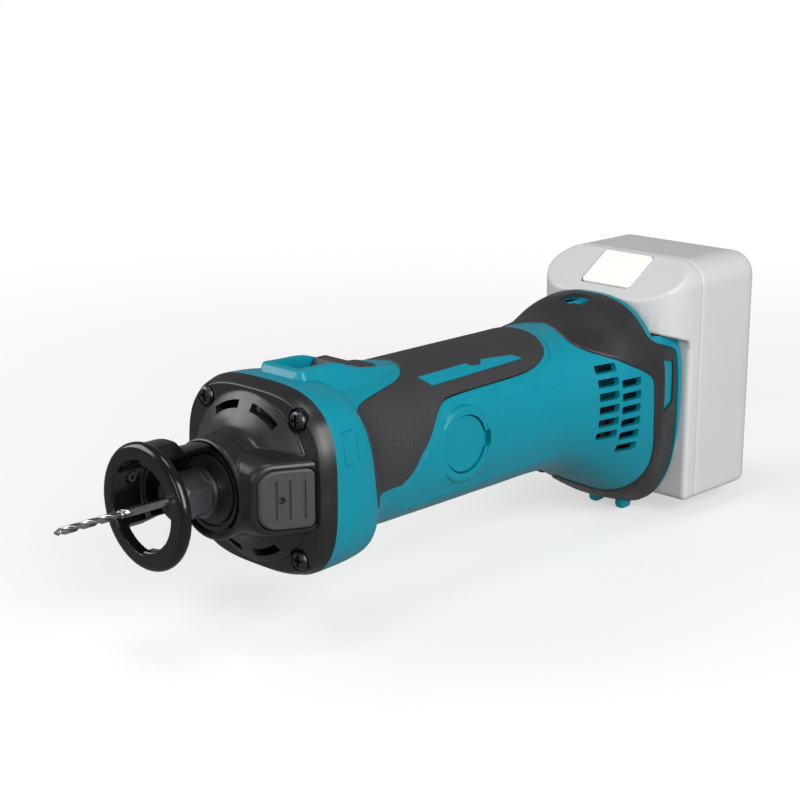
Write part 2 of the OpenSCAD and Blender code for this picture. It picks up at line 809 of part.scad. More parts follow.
module grip_left() color("#2b2c2e") grip(-1);
module grip_right() color("#2b2c2e") grip(1);

module bumper(side) {
  difference() {
    intersection() {
      mirrored(side) bumper_solid();
      half(side);
    }
    pack_space();
  }
}

module bumper_left() color("#2b2c2e") bumper(-1);
module bumper_right() color("#2b2c2e") bumper(1);

// Square rim of the front housing, rounded towards its front
module front_rim() {
  k = 48;
  rows = [[rim_x, 2.9], [rim_x + 0.5, 2.3], [rim_x + 3, 1], [joint_x, 0]];
  pts = [
    for (r = rows) for (j = [0:k - 1])
      let (a = 360 * j / k, p = 2 / flange_n)
      [r[0], -(flange_w - r[1]) * flat_pow(cos(a), p), (flange_h - r[1]) * flat_pow(sin(a), p)]
  ];
  polyhedron(pts, loft_faces(3, k));
}

function lock_y(x) = lock_y0 - lock_slope * (x - lock_x0);

// Slab behind the button's slanted face, from one depth to another
module lock_slab(d0, d1, x0, x1, h) {
  translate([0, 0, -h])
    linear_extrude(height = 2 * h)
      polygon([[x0, lock_y(x0) + d0], [x1, lock_y(x1) + d0], [x1, lock_y(x1) + d1], [x0, lock_y(x0) + d1]]);
}

module lock_prism(g, y0, y1) {
  translate([0, y1, 0])
    rotate([90, 0, 0])
      linear_extrude(height = y1 - y0)
        polygon(rrect(lock_x0 - g, lock_x1 + g, -lock_h - g, lock_h + g, 6, 2.5));
}

module clamp_boss() {
  ycyl(clamp_x, 0, 10, clamp_seat + 3, clamp_head_r + 1.6);
}

module front_housing() color("#1d1e20") {
  boss_y = lock_y(lock_x1 + 2) + 0.8;
  difference() {
    union() {
      xturn([
        [0, collar_x], [collar_r - 0.6, collar_x], [collar_r, collar_x + 0.6],
        [collar_r + 0.9, rim_x - 8.2], [collar_r + 1.8, rim_x - 6.7], [collar_r + 4.4, rim_x - 4.5],
        [dome_r - 7, rim_x - 3.5], [dome_r - 2.4, rim_x - 1.2], [dome_r, rim_x + 0.2],
        [dome_r, rim_x + 3], [0, rim_x + 3]
      ]);
      front_rim();
      translate([0, 0, -13.2])
        linear_extrude(height = 26.4)
          polygon([
            [lock_x0 - 1.8, -6], [lock_x0 - 1.8, lock_y(lock_x0 - 1.8) + 0.8],
            [lock_x1 + 2, boss_y], [fan_x - 0.4, boss_y], [fan_x - 0.4, -6]
          ]);
      clamp_boss();
    }
    xcyl(collar_x - 1, bearing_f_x, bearing_f_r + 0.6);
    xcyl(bearing_f_x - 0.5, bearing_f_x1, bearing_f_r + seat_gap);
    xcyl(bearing_f_x1 - 1, joint_x + 1, lock_collar_r + 1.2);
    xcyl(tube_end, joint_x + 1, 22);
    xturn_arc(
      ring_profile(groove_ri, groove_ro, collar_x - 1, groove_end),
      arm_from - 4, arm_to + 4
    );
    difference() {
      xturn([
        [collar_r + 1, rim_x - 3.8], [collar_r + 4, rim_x - 1.9], [dome_r - 7.5, rim_x - 0.8],
        [dome_r - 1.9, rim_x + 2.4],
        [dome_r - 1.5, joint_x + 1], [collar_r + 1, joint_x + 1]
      ]);
      box(30, fan_x - 0.4, -40, -15, -13.2, 13.2);
      clamp_boss();
    }
    for (a = [slot_from, 180 - slot_from - slot_arc, 180 + slot_from, 360 - slot_from - slot_arc])
      xturn_arc(ring_profile(slot_ri, slot_ro, rim_x - 8, rim_x + 4), a, a + slot_arc);
    intersection() {
      lock_prism(run_gap, -60, 0);
      lock_slab(-20, lock_t + lock_travel + 0.5, 20, 60, 30);
    }
    ycyl(pin_x, 0, -40, 0, pin_r + turn_gap);
    ycyl(clamp_x, 0, groove_ro - 1, 40, clamp_r + turn_gap);
    ycyl(clamp_x, 0, clamp_seat, 40, clamp_head_r + 0.4);
    for (y = [-1, 1]) for (z = [-1, 1]) translate([0, y * screw_y, z * screw_z]) {
      xcyl(rim_x - 3, joint_x + 1, screw_r + seat_gap);
      xcyl(rim_x - 6, rim_x + 2.5, screw_head_r + 0.9);
    }
  }
}

module front_screws() color("#8d9094") {
  for (y = [-1, 1]) for (z = [-1, 1]) translate([0, y * screw_y, z * screw_z]) {
    difference() {
      union() {
        xcyl(rim_x + 2.5, joint_x + 12, screw_r);
        xcyl(rim_x + 1.9, rim_x + 2.5, screw_head_r + 0.6);
        xcyl(rim_x - 0.4, rim_x + 1.9, screw_head_r);
      }
      box(rim_x - 1, rim_x + 0.9, -0.5, 0.5, -2.2, 2.2);
      box(rim_x - 1, rim_x + 0.9, -2.2, 2.2, -0.5, 0.5);
    }
  }
}

module housing_screws() color("#3a3c3f") {
  for (p = HS) {
    difference() {
      union() {
        ycyl(p[0], p[1], -15.5, hs_head_y + 0.5, hs_r);
        ycyl(p[0], p[1], hs_head_y, hs_head_y + 2.4, hs_head_r);
      }
      ycyl(p[0], p[1], hs_head_y + 1, hs_head_y + 4, 1.6, $fn = 6);
    }
  }
}

module brush_cap(side) {
  mirrored(side) difference() {
    union() {
      ycyl(brush_x, 0.3, -cap_y, -cap_y + 2.3, cap_r);
      ycyl(brush_x, 0.3, -cap_y + 2.3, -cap_y + 2.4, cap_r - 1.5);
    }
    ycyl(brush_x, 0.3, -cap_y + 1.6, -cap_y + 4, cap_r - 3);
  }
}

module brush_cap_left() color("#008996") brush_cap(-1);
module brush_cap_right() color("#008996") brush_cap(1);

module brush_holders() color("#6b4a2a") {
  for (s = [-1, 1]) mirrored(s) difference() {
    union() {
      box(brush_x - 5.6, brush_x + 5.6, 2.8 - cap_y, -comm_r - 2.5, -4.6, 4.6);
      box(brush_x - 5.9, brush_x + 5.9, 7.4 - cap_y, 8.4 - cap_y, -4.9, 4.9);
    }
    box(
      brush_x - brush_w / 2 - 0.1, brush_x + brush_w / 2 + 0.1, -30, -10,
      -brush_h / 2 - 0.1, brush_h / 2 + 0.1
    );
  }
}

module carbon_brushes() color("#2e2e30") {
  for (s = [-1, 1]) mirrored(s)
    box(
      brush_x - brush_w / 2, brush_x + brush_w / 2, 6.8 - cap_y, -comm_r - run_gap,
      -brush_h / 2, brush_h / 2
    );
}

module brush_springs() color("#9a9da1") {
  for (s = [-1, 1]) mirrored(s)
    for (k = [0:3])
      translate([brush_x, 3.3 - cap_y + k, 0]) rotate([90, 0, 0]) spring_ring(brush_h / 2 - 1, 0.45);
}

module magnet_yoke() color("#777b80") xtube(yoke_x0, yoke_x1, yoke_r, yoke_ri);

module magnets() color("#3b3d40") {
  for (a = [20, 200])
    xturn_arc(ring_profile(magnet_ri, magnet_ro, core_x0 - 1, core_x1 + 1), a, a + 140);
}

module front_bearing_outer() color("#b4b7bb")
  xtube(bearing_f_x, bearing_f_x1, bearing_f_r, bearing_f_r - 1.8);
module rear_bearing_outer() color("#b4b7bb")
  xtube(bearing_r_x, bearing_r_x + bearing_r_w, bearing_r_r, bearing_r_r - 2);

module dust_seal() color("#232426") xtube(
  collar_x + 0.4, bearing_f_x - 0.1, bearing_f_r + 0.6 - seat_gap, spindle_r + run_gap
);

module fan_baffle() color("#303236") xtube(baffle_x, baffle_x + 2, baffle_r, baffle_r - 13);

module thumb_pad() color("#2b2c2e") box(
  thumb_x + seat_gap, thumb_x + thumb_len - seat_gap, -thumb_w + seat_gap, thumb_w - seat_gap,
  thumb_floor, thumb_floor + 1.2
);

module switch_unit() color("#35373a") {
  difference() {
    union() {
      box(unit_x, unit_x + unit_len, -unit_w, unit_w, unit_z, unit_z + unit_h);
      for (x = [unit_x + 2, unit_x + unit_len - 8])
        box(x, x + 4, -unit_w + 3, unit_w - 3, unit_z - 3, unit_z);
    }
    box(unit_x - 2, unit_x + 8, -rod_w - 0.4, rod_w + 0.4, unit_z + unit_h - 3, unit_z + unit_h + 6);
  }
}

module controller_board() color("#2f6b3d") {
  box(board_x, board_x + board_len, -board_w, board_w, board_z - board_t, board_z);
  for (x = [board_x + 10, board_x + 22, board_x + 34])
    box(x, x + 8, -board_w + 2, -7, board_z, board_z + 4.5);
  for (x = [board_x + 14, board_x + 30]) translate([x, 9, board_z]) cylinder(h = 12, r = 5);
}

// Contact blade across place y, from a front end x0, grown by g
module blade(y, x0, g) {
  t = blade_t / 2 + g;
  box(x0, head_x + 10, y - t, y + t, block_z0 + 4 - g, block_z1 - 10 + g);
}

module terminal_block() color("#232426") {
  difference() {
    union() {
      box(head_x - 12, head_x + 0.6, -block_w, block_w, block_z0, block_z1);
      box(head_x - 15, head_x - 12, -block_w + 3, block_w - 3, block_z0 + 3, block_z1 - 3);
    }
    for (y = BLADES) blade(y, head_x - 9 - seat_gap, seat_gap);
  }
}

module terminal_blades() color("#c9a24a") {
  for (y = BLADES) blade(y, head_x - 9, 0);
}

module power_leads() color("#a02a26") {
  for (s = [-1, 1]) {
    wire([[head_x - 15.6, s * 8, -20], [222, s * 8, -18], [218, s * 8, board_z - board_t - 1.4]], lead_r);
    wire(
      [
        [board_x - 0.9, s * 15, board_z - 0.8], [board_x - 6, s * 17, lead_z],
        [143, s * 17, lead_z], [brush_x + 7.4, s * 17, -2]
      ],
      lead_r
    );
  }
}

module lock_spring() color("#9a9da1") {
  a = atan(lock_slope);
  for (k = [0:2])
    translate([pin_x, lock_y(pin_x) + lock_t + (0.8 + k) / cos(a), 0])
      rotate([0, 0, -a]) rotate([90, 0, 0]) spring_ring(pin_r + 1.9, 0.5);
}

module spindle() color("#a9adb2") {
  difference() {
    union() {
      xcyl(nose_x, lock_collar_x0, spindle_r);
      xcyl(lock_collar_x0, lock_collar_x1, lock_collar_r);
      xcyl(lock_collar_x1, shaft_x1, shaft_r);
    }
    xturn([
      [0, nose_x - 1], [collet_r + seat_gap, nose_x - 1], [collet_r + seat_gap, nose_x],
      [collet_tail_r + seat_gap, collet_x1 + 1], [0, collet_x1 + 1]
    ]);
    for (a = [0, 90, 180, 270])
      rotate([a, 0, 0]) ycyl(pin_x, 0, -lock_collar_r - 1, -4.6, pin_r + 0.4);
  }
}

module armature_core() color("#6f7276") {
  difference() {
    xcyl(core_x0, core_x1, core_r);
    xcyl(core_x0 - 1, core_x1 + 1, shaft_r);
    for (a = [0:30:330])
      rotate([a, 0, 0]) box(core_x0 - 1, core_x1 + 1, -2, 2, core_r - 7, core_r + 1);
  }
}

module armature_windings() color("#b06a32") {
  for (a = [0:30:330])
    rotate([a, 0, 0]) box(core_x0 - 1, core_x1 + 1, -1.9, 1.9, core_r - 6.9, core_r - 1);
  for (x = [core_x0 - 6, core_x1])
    xturn([
      [7, x], [core_r - 2.9, x], [core_r - 1, x + 1.5],
      [core_r - 1, x + 4.5], [core_r - 2.9, x + 6], [7, x + 6]
    ]);
}

module commutator() color("#b87a45") {
  difference() {
    xcyl(brush_x - 8, brush_x + 7, comm_r);
    xcyl(brush_x - 10, brush_x + 9, shaft_r);
    for (a = [0:15:165])
      rotate([a, 0, 0]) box(brush_x - 6, brush_x + 9, -0.25, 0.25, -comm_r - 1, -comm_r + 0.8);
    for (a = [0:15:165])
      rotate([a, 0, 0]) box(brush_x - 6, brush_x + 9, -0.25, 0.25, comm_r - 0.8, comm_r + 1);
  }
}

module cooling_fan() color("#e3e1da") {
  difference() {
    union() {
      xcyl(fan_x, fan_x + fan_w, 9);
      xcyl(fan_x + fan_w - 1.4, fan_x + fan_w, fan_r);
      for (a = [0:30:330])
        rotate([a, 0, 0]) box(fan_x, fan_x + fan_w - 1, -0.7, 0.7, 8, fan_r - 0.4);
    }
    xcyl(fan_x - 1, fan_x + fan_w + 1, shaft_r);
  }
}

module bearing_inner(x, w, ri, rm, rb, n) {
  xtube(x, x + w, rm, ri);
  for (k = [0:n - 1])
    rotate([360 * k / n, 0, 0])
      translate([x + w / 2, 0, (rm + rb) / 2]) sphere(r = (rb - rm) / 2 - turn_gap);
}

module front_bearing_inner() color("#c4c7cb")
  bearing_inner(bearing_f_x, bearing_f_w, spindle_r, spindle_r + 1.8, bearing_f_r - 1.8, 10);
module rear_bearing_inner() color("#c4c7cb")
  bearing_inner(bearing_r_x, bearing_r_w, shaft_r, shaft_r + 1.8, bearing_r_r - 2, 8);

module collet() color("#8d9094") {
  difference() {
    xturn([
      [bit_thin_r + turn_gap, collet_x0], [collet_nose_r, collet_x0], [collet_nose_r, nut_x + 3.4],
      [collet_r, nut_x + 4.4], [collet_r, nose_x], [collet_tail_r, collet_x1],
      [bit_thin_r + turn_gap, collet_x1]
    ]);
    for (a = [0, 90, 180, 270])
      rotate([a, 0, 0]) box(collet_x0 - 1, collet_x1 - 6, -0.3, 0.3, 0, 8);
  }
}

module collet_nut() color("#2a2b2d") {
  difference() {
    union() {
      rotate([30, 0, 0]) xcyl(nut_x, nut_x1, nut_corner_r, $fn = 6);
      xcyl(nut_x1 - 0.6, nut_x1 + nut_skirt_len, nut_corner_r + 0.3);
    }
    xcyl(nut_x - 1, nut_x + 4, collet_nose_r + turn_gap);
    xcyl(nut_x + 3, nut_x1 + nut_skirt_len + 1, spindle_r + turn_gap);
  }
}

module cutting_bit() color("#c9ccd0") {
  difference() {
    union() {
      xcyl(bit_x0 + 2, bit_x0 + flute_len + 1, bit_thin_r);
      xcyl(bit_x0 + flute_len, collet_x0 - 0.6, bit_r);
      xcyl(collet_x0 - 1, bit_x1, bit_thin_r);
      translate([bit_x0, 0, 0]) rotate([0, 90, 0]) cylinder(h = 2, r1 = 0.3, r2 = bit_thin_r);
    }
    for (a = [0, 180])
      rotate([a, 0, 0])
        box(bit_x0 - 1, bit_x0 + flute_len, -flute_w / 2, flute_w / 2, bit_thin_r - flute_depth, bit_r + 1);
  }
}

module depth_guide() color("#161718") {
  difference() {
    union() {
      xturn([
        [ring_in_r, 0], [ring_r - 1.4, 0], [ring_r - 0.4, 0.5], [ring_r, 1.6], [ring_r, ring_t - 1.2],
        [ring_r - 1, ring_t - 0.2], [ring_r - 2, ring_t], [ring_in_r, ring_t]
      ]);
      xturn_arc(
        [
          [sleeve_ri, ring_t - 1], [arm_r, ring_t - 1], [arm_r, arm_len],
          [sleeve_ro, arm_len + 4], [sleeve_ro, sleeve_end], [sleeve_ri, sleeve_end]
        ],
        arm_from, arm_to
      );
    }
    xturn_arc(ring_profile(ring_in_r - 2, ring_step_r, -1, arm_len), 0, 180);
    ycyl(8, 6, 15, 19, 1.8);
  }
}

module guide_insert() color("#c4c7cb") {
  difference() {
    ycyl(8, 6, 15, 19, 1.75);
    ycyl(8, 6, 10, 20, 0.8);
  }
}

module guide_screw() color("#8d9094") {
  difference() {
    union() {
      ycyl(clamp_x, 0, groove_ro, clamp_seat + 0.4, clamp_r);
      ycyl(clamp_x, 0, clamp_seat + 0.3, clamp_seat + 3.6, clamp_head_r);
    }
    ycyl(clamp_x, 0, clamp_seat + 1.4, clamp_seat + 5, clamp_r - 0.5, $fn = 6);
  }
}

module switch_knob() color("#2b2c2e") {
  translate([0, knob_w, 0])
    rotate([90, 0, 0])
      linear_extrude(height = 2 * knob_w)
        polygon([
          [knob_x, well_floor + run_gap], [knob_x + 3.4, knob_top], [knob_x + knob_len, knob_top],
          [knob_x + knob_len, well_floor + run_gap]
        ]);
  box(knob_x + 1, knob_x + 7, -2.8, 2.8, rod_z + rod_t, well_floor + 1);
}

module switch_rod() color("#d8d6cf") {
  box(knob_x + 0.5, unit_x + 4, -rod_w, rod_w, rod_z, rod_z + rod_t);
  box(unit_x + 2.5, unit_x + 4, -rod_w, rod_w, unit_z + unit_h - 2, rod_z + 0.2);
}

module lock_button() color("#3a3b3e") {
  difference() {
    intersection() {
      lock_prism(0, -60, 0);
      lock_slab(0, lock_t, 20, 60, 30);
    }
    for (x = [lock_x0 + 4.8, lock_x0 + 9.2, lock_x0 + 13.6])
      translate([x, lock_y(x), 0]) rotate([0, 0, -atan(lock_slope)]) box(-0.4, 0.4, -0.5, 0.5, -7, 7);
    ycyl(pin_x, 0, lock_y(pin_x) + lock_t - 1.3, 0, pin_r);
    ycyl(lock_x0 + 6.8, 0.4, lock_y(lock_x0 + 6.8) - 2, lock_y(lock_x0 + 6.8) + 0.8, 1);
  }
}

module lock_pin() color("#a9adb2")
  ycyl(pin_x, 0, lock_y(pin_x) + lock_t - 1.3, -lock_collar_r - 0.7, pin_r);

// Pack outline cut by its sloping front
module pack_body(g) {
  intersection() {
    union() {
      translate([0, 0, 26 + g]) linear_extrude(height = pack_top - 26 - 2 * g)
        polygon(rrect(pack_x0 + g, pack_x1 - g, -pack_w + g, pack_w - g, pack_corner_f, pack_corner_b - g));
      translate([0, 0, pack_bot + g]) linear_extrude(height = 30 - pack_bot)
        polygon(rrect(wing_x + 0.8 + g, pack_x1 - g, -pack_w + g, pack_w - g, 2, pack_corner_b - g));
      tongue(pack_x0 + g, wing_x + 4, -g);
    }
    rotate([90, 0, 0])
      linear_extrude(height = 200, center = true)
        polygon([
          [pack_x0 - 5, pack_bot - 5], [pack_x0 - 5, slope_z0 - 5 * tan(slope_a) - g],
          [slope_x1, pack_top - g], [pack_x1 + 5, pack_top - g], [pack_x1 + 5, pack_bot - 5]
        ]);
  }
}

module at_pack_screws() {
  for (y = [-1, 1]) translate([0, y * pack_screw_y, pack_bot + pack_rim / 2]) children();
}

module pack_case() color("#c9cbcc") {
  difference() {
    intersection() {
      pack_body(0);
      box(pack_seam, big, -60, 60, -80, 80);
    }
    box(
      pack_seam - 1, pack_x1 - pack_wall, -pack_w + pack_wall, pack_w - pack_wall,
      pack_bot + pack_rim, pack_top - pack_rim
    );
    at_pack_screws() xcyl(pack_seam - 2, pack_x1 + 1, pack_screw_r + 0.35);
    at_pack_screws() xcyl(pack_x1 - 2.6, pack_x1 + 1, pack_screw_r + 1.05);
  }
}

module on_slope() {
  translate([pack_x0, 0, slope_z0]) rotate([0, -slope_a, 0]) children();
}

module release_prism(g, z0, z1) {
  on_slope() translate([0, 0, z0]) linear_extrude(height = z1 - z0)
    polygon(rrect(release_at - g, release_at + release_len + g, -release_w - g, release_w + g, 2, 2));
}

module pack_cover() color("#c9cbcc") {
  lip_z = pack_top - pack_rim - seat_gap;
  difference() {
    union() {
      intersection() {
        pack_body(0);
        box(0, pack_seam, -60, 60, -80, 80);
      }
      box(pack_seam - 2, pack_seam + 1.4, -30, 30, lip_z - 2.6, lip_z - 0.4);
    }
    box(
      wing_x + 2.5, pack_seam + 1, -pack_w + pack_wall, pack_w - pack_wall,
      pack_bot + pack_rim, cover_roof
    );
    box(head_x + 13.5, pack_seam + 1, -tongue_w + 4, tongue_w - 4, -24, 28);
    release_prism(run_gap, -release_travel - 4.4, 10);
    for (s = [-1, 1])
      side_box(s, rail_x - run_gap, rail_x + rail_t + run_gap, tongue_w - rail_h - run_gap, 60, -80, 16);
    for (y = BLADES) box(200, head_x + 11, y - spring_y - 0.3, y + spring_y + 0.3, -80, block_z1 - 8.5);
    at_pack_screws() xcyl(pack_seam - 5, pack_seam + 2, pack_screw_r + seat_gap);
  }
}

module pack_cells() color("#7d8fa3") {
  for (i = [0, 1]) for (k = [-2:2])
    ycyl(cell_x - i * cell_step, cell_z + k * cell_step, -cell_len / 2, cell_len / 2, cell_r);
}

module pack_board() color("#2f6b3d") {
  box(wing_x + 4, wing_x + 5.6, -28, 28, pack_bot + pack_rim + run_gap, cover_roof - run_gap);
  for (z = [-30, -10, 12]) box(wing_x + 2.8, wing_x + 4, -20, -10, z, z + 8);
}

module pack_terminals() color("#c9a24a") {
  for (y = BLADES) for (s = [-1, 1])
    translate([0, y + s * spring_y, 0])
      box(head_x + 3, head_x + 11, -0.3, 0.3, block_z0 + 5, block_z1 - 8.5);
}

module pack_screws() color("#8d9094") {
  at_pack_screws() {
    xcyl(pack_seam - 4.5, pack_x1 - 2.5, pack_screw_r);
    difference() {
      xcyl(pack_x1 - 2.6, pack_x1 - 0.8, pack_screw_r + 0.95);
      translate([pack_x1 - 1.8, 0, 0]) rotate([0, 90, 0]) cylinder(h = 3, r = pack_screw_r, $fn = 6);
    }
  }
}

module latch_spring() color("#9a9da1") {
  for (k = [0:2])
    on_slope()
      translate([release_at + release_len / 2, 0, -release_travel - 3.8 + k]) spring_ring(3, 0.5);
}

module pack_button() color("#e8e8e6") {
  release_prism(0, -3.6, 0.6);
}

housing_left();
housing_right();
grip_left();
grip_right();
bumper_left();
bumper_right();
front_housing();
front_screws();
housing_screws();
brush_cap_left();
brush_cap_right();
brush_holders();
carbon_brushes();
brush_springs();
magnet_yoke();
magnets();
front_bearing_outer();
rear_bearing_outer();
dust_seal();
fan_baffle();
thumb_pad();
switch_unit();
controller_board();
terminal_block();
terminal_blades();
power_leads();
lock_spring();
spindle();
armature_core();
armature_windings();
commutator();
cooling_fan();
front_bearing_inner();
rear_bearing_inner();
collet();
collet_nut();
cutting_bit();
depth_guide();
guide_insert();
guide_screw();
switch_knob();
switch_rod();
lock_button();
lock_pin();
pack_case();
pack_cover();
pack_cells();
pack_board();
pack_terminals();
pack_screws();
latch_spring();
pack_button();
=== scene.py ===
import json
from math import pi, radians

import bmesh
import bpy
import numpy as np
from mathutils import Matrix, Vector


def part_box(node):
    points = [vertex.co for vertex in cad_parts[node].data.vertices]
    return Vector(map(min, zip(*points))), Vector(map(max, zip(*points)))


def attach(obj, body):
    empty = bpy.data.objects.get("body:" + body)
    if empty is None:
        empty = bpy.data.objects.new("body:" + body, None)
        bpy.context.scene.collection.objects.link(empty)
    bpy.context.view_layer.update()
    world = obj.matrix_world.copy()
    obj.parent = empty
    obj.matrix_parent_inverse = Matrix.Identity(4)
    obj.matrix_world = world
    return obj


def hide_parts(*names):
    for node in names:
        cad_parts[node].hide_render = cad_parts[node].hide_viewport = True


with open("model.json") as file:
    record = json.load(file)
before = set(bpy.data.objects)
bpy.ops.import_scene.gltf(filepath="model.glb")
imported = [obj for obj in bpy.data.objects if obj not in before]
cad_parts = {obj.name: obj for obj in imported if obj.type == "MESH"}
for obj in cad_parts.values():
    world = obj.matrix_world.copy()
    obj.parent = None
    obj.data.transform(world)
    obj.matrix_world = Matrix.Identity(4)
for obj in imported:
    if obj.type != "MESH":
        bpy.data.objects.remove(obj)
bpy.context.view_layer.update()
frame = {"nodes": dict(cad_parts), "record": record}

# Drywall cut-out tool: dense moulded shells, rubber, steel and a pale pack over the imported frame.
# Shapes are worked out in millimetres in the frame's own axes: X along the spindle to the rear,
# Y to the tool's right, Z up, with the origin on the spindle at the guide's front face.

nodes = frame["nodes"]
MM = 0.001


def span(node):
    """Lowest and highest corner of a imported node, in millimetres."""
    return tuple(np.array(corner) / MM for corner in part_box(node))


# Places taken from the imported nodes
front_low, front_high = span("front_housing")
collar_x, joint_x = front_low[0], front_high[0]
flange_w, flange_h = front_high[1], front_high[2]
shell_low, shell_high = span("housing_left")
wing_x, foot_z = shell_high[0], shell_low[2]
guide_high = span("depth_guide")[1]
nut_low, nut_high = span("collet_nut")
bit_low, bit_high = span("cutting_bit")
lock_low, lock_high = span("lock_button")
knob_low, knob_high = span("switch_knob")
thumb_low, thumb_high = span("thumb_pad")
cap_low, cap_high = span("brush_cap_left")
cover_low = span("pack_cover")[0]
case_low, case_high = span("pack_case")
screws_low, screws_high = span("front_screws")

# Housing: wall, place of the head's rear face, thickness of the rear wall, squareness of the flange
WALL, HEAD_X, REAR_WALL, FLANGE_SQUARE = 2.4, 243, 3, 3.1
# Rubber above and below the housing's surface
RUBBER_UP, RUBBER_DOWN = 0.7, 0.9
# Sections: place, half width, height, depth, upper and lower squareness, lean
SECTIONS = [
    [joint_x, flange_w, flange_h, flange_h, FLANGE_SQUARE, FLANGE_SQUARE, 0],
    [joint_x + 3, flange_w, flange_h, flange_h, FLANGE_SQUARE, FLANGE_SQUARE, 0],
    [70, 37.25, 34.65, 34.65, FLANGE_SQUARE, FLANGE_SQUARE, 0.06],
    [76.5, 35.65, 33.55, 33.35, 2.85, 2.95, 0.12],
    [81, 31.4, 31.5, 30.9, 2.4, 2.5, 0.14],
    [87, 28.9, 30.6, 29.9, 2.2, 2.25, 0.13],
    [104, 28.5, 30.4, 29.8, 2.15, 2.2, 0.05],
    [130, 28.5, 30.4, 29.7, 2.15, 2.2, 0],
    [165, 28.8, 30.4, 29.3, 2.15, 2.2, 0],
    [190, 29.8, 30.2, 29.1, 2.2, 2.2, 0],
    [205, 31.8, 30, 30.9, 2.3, 2.3, 0],
    [217, 33.6, 31.2, 36.6, 2.4, 2.4, 0],
    [230, 35, 36.6, 43.8, 2.5, 2.5, 0],
    [HEAD_X, 35.6, 38.8, 51, 2.5, 2.6, 0],
    [HEAD_X + 3.5, 35.5, 38.8, 52.4, 2.5, 2.6, 0],
    [wing_x, 33.5, 38.8, 58, 2.5, 2.6, 0],
]
# Outlines of the rubber: angle up from the side, front edge, rear edge
GRIP = [
    [-14, 78.5, 97], [-8, 77, 102], [0, 76.4, 106.5], [12, 76.4, 113], [22, 76.8, 117],
    [31, 77.6, 121.5], [35.6, 78.8, 127], [37.2, 79.4, 140], [38, 79.8, 160], [39.4, 80.6, 172],
    [44, 83.4, 181], [50, 88.5, 186.5], [56, 99, 189.5], [62, 109.5, 191], [70, 115, 192.5],
    [80, 118, 193.6], [90, 119, 194],
]
# Rear edge of the bumper at the head, on the wings and underneath
HEAD_EDGE, WING_EDGE, LOW_EDGE = HEAD_X - 2.4, wing_x - 3, wing_x - 0.3
BUMPER = [
    [-90, 219, LOW_EDGE], [-82, 226, LOW_EDGE], [-74, 234, LOW_EDGE], [-62, 238, LOW_EDGE],
    [-48, 241, LOW_EDGE], [-33, 243.6, LOW_EDGE], [-22, 243, LOW_EDGE - 0.9], [-10, 241, WING_EDGE + 0.9],
    [3, 239.8, WING_EDGE + 0.2], [8, 238.6, WING_EDGE], [12, 234.5, WING_EDGE], [18, 228, WING_EDGE - 0.2],
    [20.5, 226, WING_EDGE - 1.6], [24, 223.4, WING_EDGE - 7], [28, 221, WING_EDGE - 14],
    [33, 217.5, HEAD_EDGE + 0.8], [38, 214, HEAD_EDGE], [45, 209, HEAD_EDGE], [54, 205, HEAD_EDGE],
    [66, 204.6, HEAD_EDGE], [78, 207, HEAD_EDGE], [90, 209.5, HEAD_EDGE],
]
# Bare teal panel let into the bumper's rear band: place, angle
PANEL = [[247, 16.3], [255.2, 13], [254.7, -2.9], [246.9, -5.6]]
# Crease of the bumper where its side turns into the rear band: angle, place
CREASE = [[-90, 258], [-53, 255], [-36, 249], [-11.3, 245.6], [19.5, 245], [27.9, 242.5], [90, 242.5]]
# Switch guard: place, half width at the foot, half width at the top, top
GUARD = [
    [61.8, 10.4, 8.8, 34], [62.8, 11.5, 9.6, 35.8], [63.8, 12.7, 10.3, 37.3], [65, 13.9, 11, 38],
    [66.5, 14.4, 11.1, 38], [70, 14.2, 10.6, 38], [83, 13.6, 10, 37.4], [95, 12.4, 9.2, 33.4],
    [106, 10.6, 8.2, 31.7], [118, 8, 6, 30],
]
# Guard's finely spaced nose, root inside the shell, foot of its sides, shoulder radius, lean of its sides
GUARD_NOSE, GUARD_ROOT, GUARD_BASE, GUARD_SHOULDER, GUARD_LEAN = 66, 24, 28, 1.6, 18
# Teal island in the grip: place, height across the tilted direction
ISLAND = np.array([
    [118, 2.8], [121.8, -2.6], [174.3, -1.2], [170.6, 1.7],
    [154.2, 3.5], [151.5, 0.9], [147, 1.5], [144.9, 3.5],
])
# Island's tilt, its rough half length and half height, the places round it, and its gap to the grip
ISLAND_TILT, ISLAND_HALF, ISLAND_ROOM, ISLAND_GAP = 35.5, np.array([26, 3]), (112, 180), 0.12


# Surfaces and solids, as points in millimetres and blocks of faces
LEAST_ROUND = 0.15


def smooth_rows(table, places):
    """Cubic through a table's rows: Hermite blend of the two rows around each place, each slope
    being that between the row's neighbours."""
    table = np.asarray(table, float)
    at = table[:, 0]
    index = np.arange(len(at))
    before, after = np.maximum(index - 1, 0), np.minimum(index + 1, len(at) - 1)
    slope = (table[after] - table[before]) / (at[after] - at[before])[:, None]
    k = np.clip(np.searchsorted(at, places, side="right") - 1, 0, len(at) - 2)
    step = (at[k + 1] - at[k])[..., None]
    s = (np.asarray(places, float) - at[k])[..., None] / step
    return (
        (2 * s**3 - 3 * s**2 + 1) * table[k] + (s**3 - 2 * s**2 + s) * step * slope[k]
        + (3 * s**2 - 2 * s**3) * table[k + 1] + (s**3 - s**2) * step * slope[k + 1]
    )


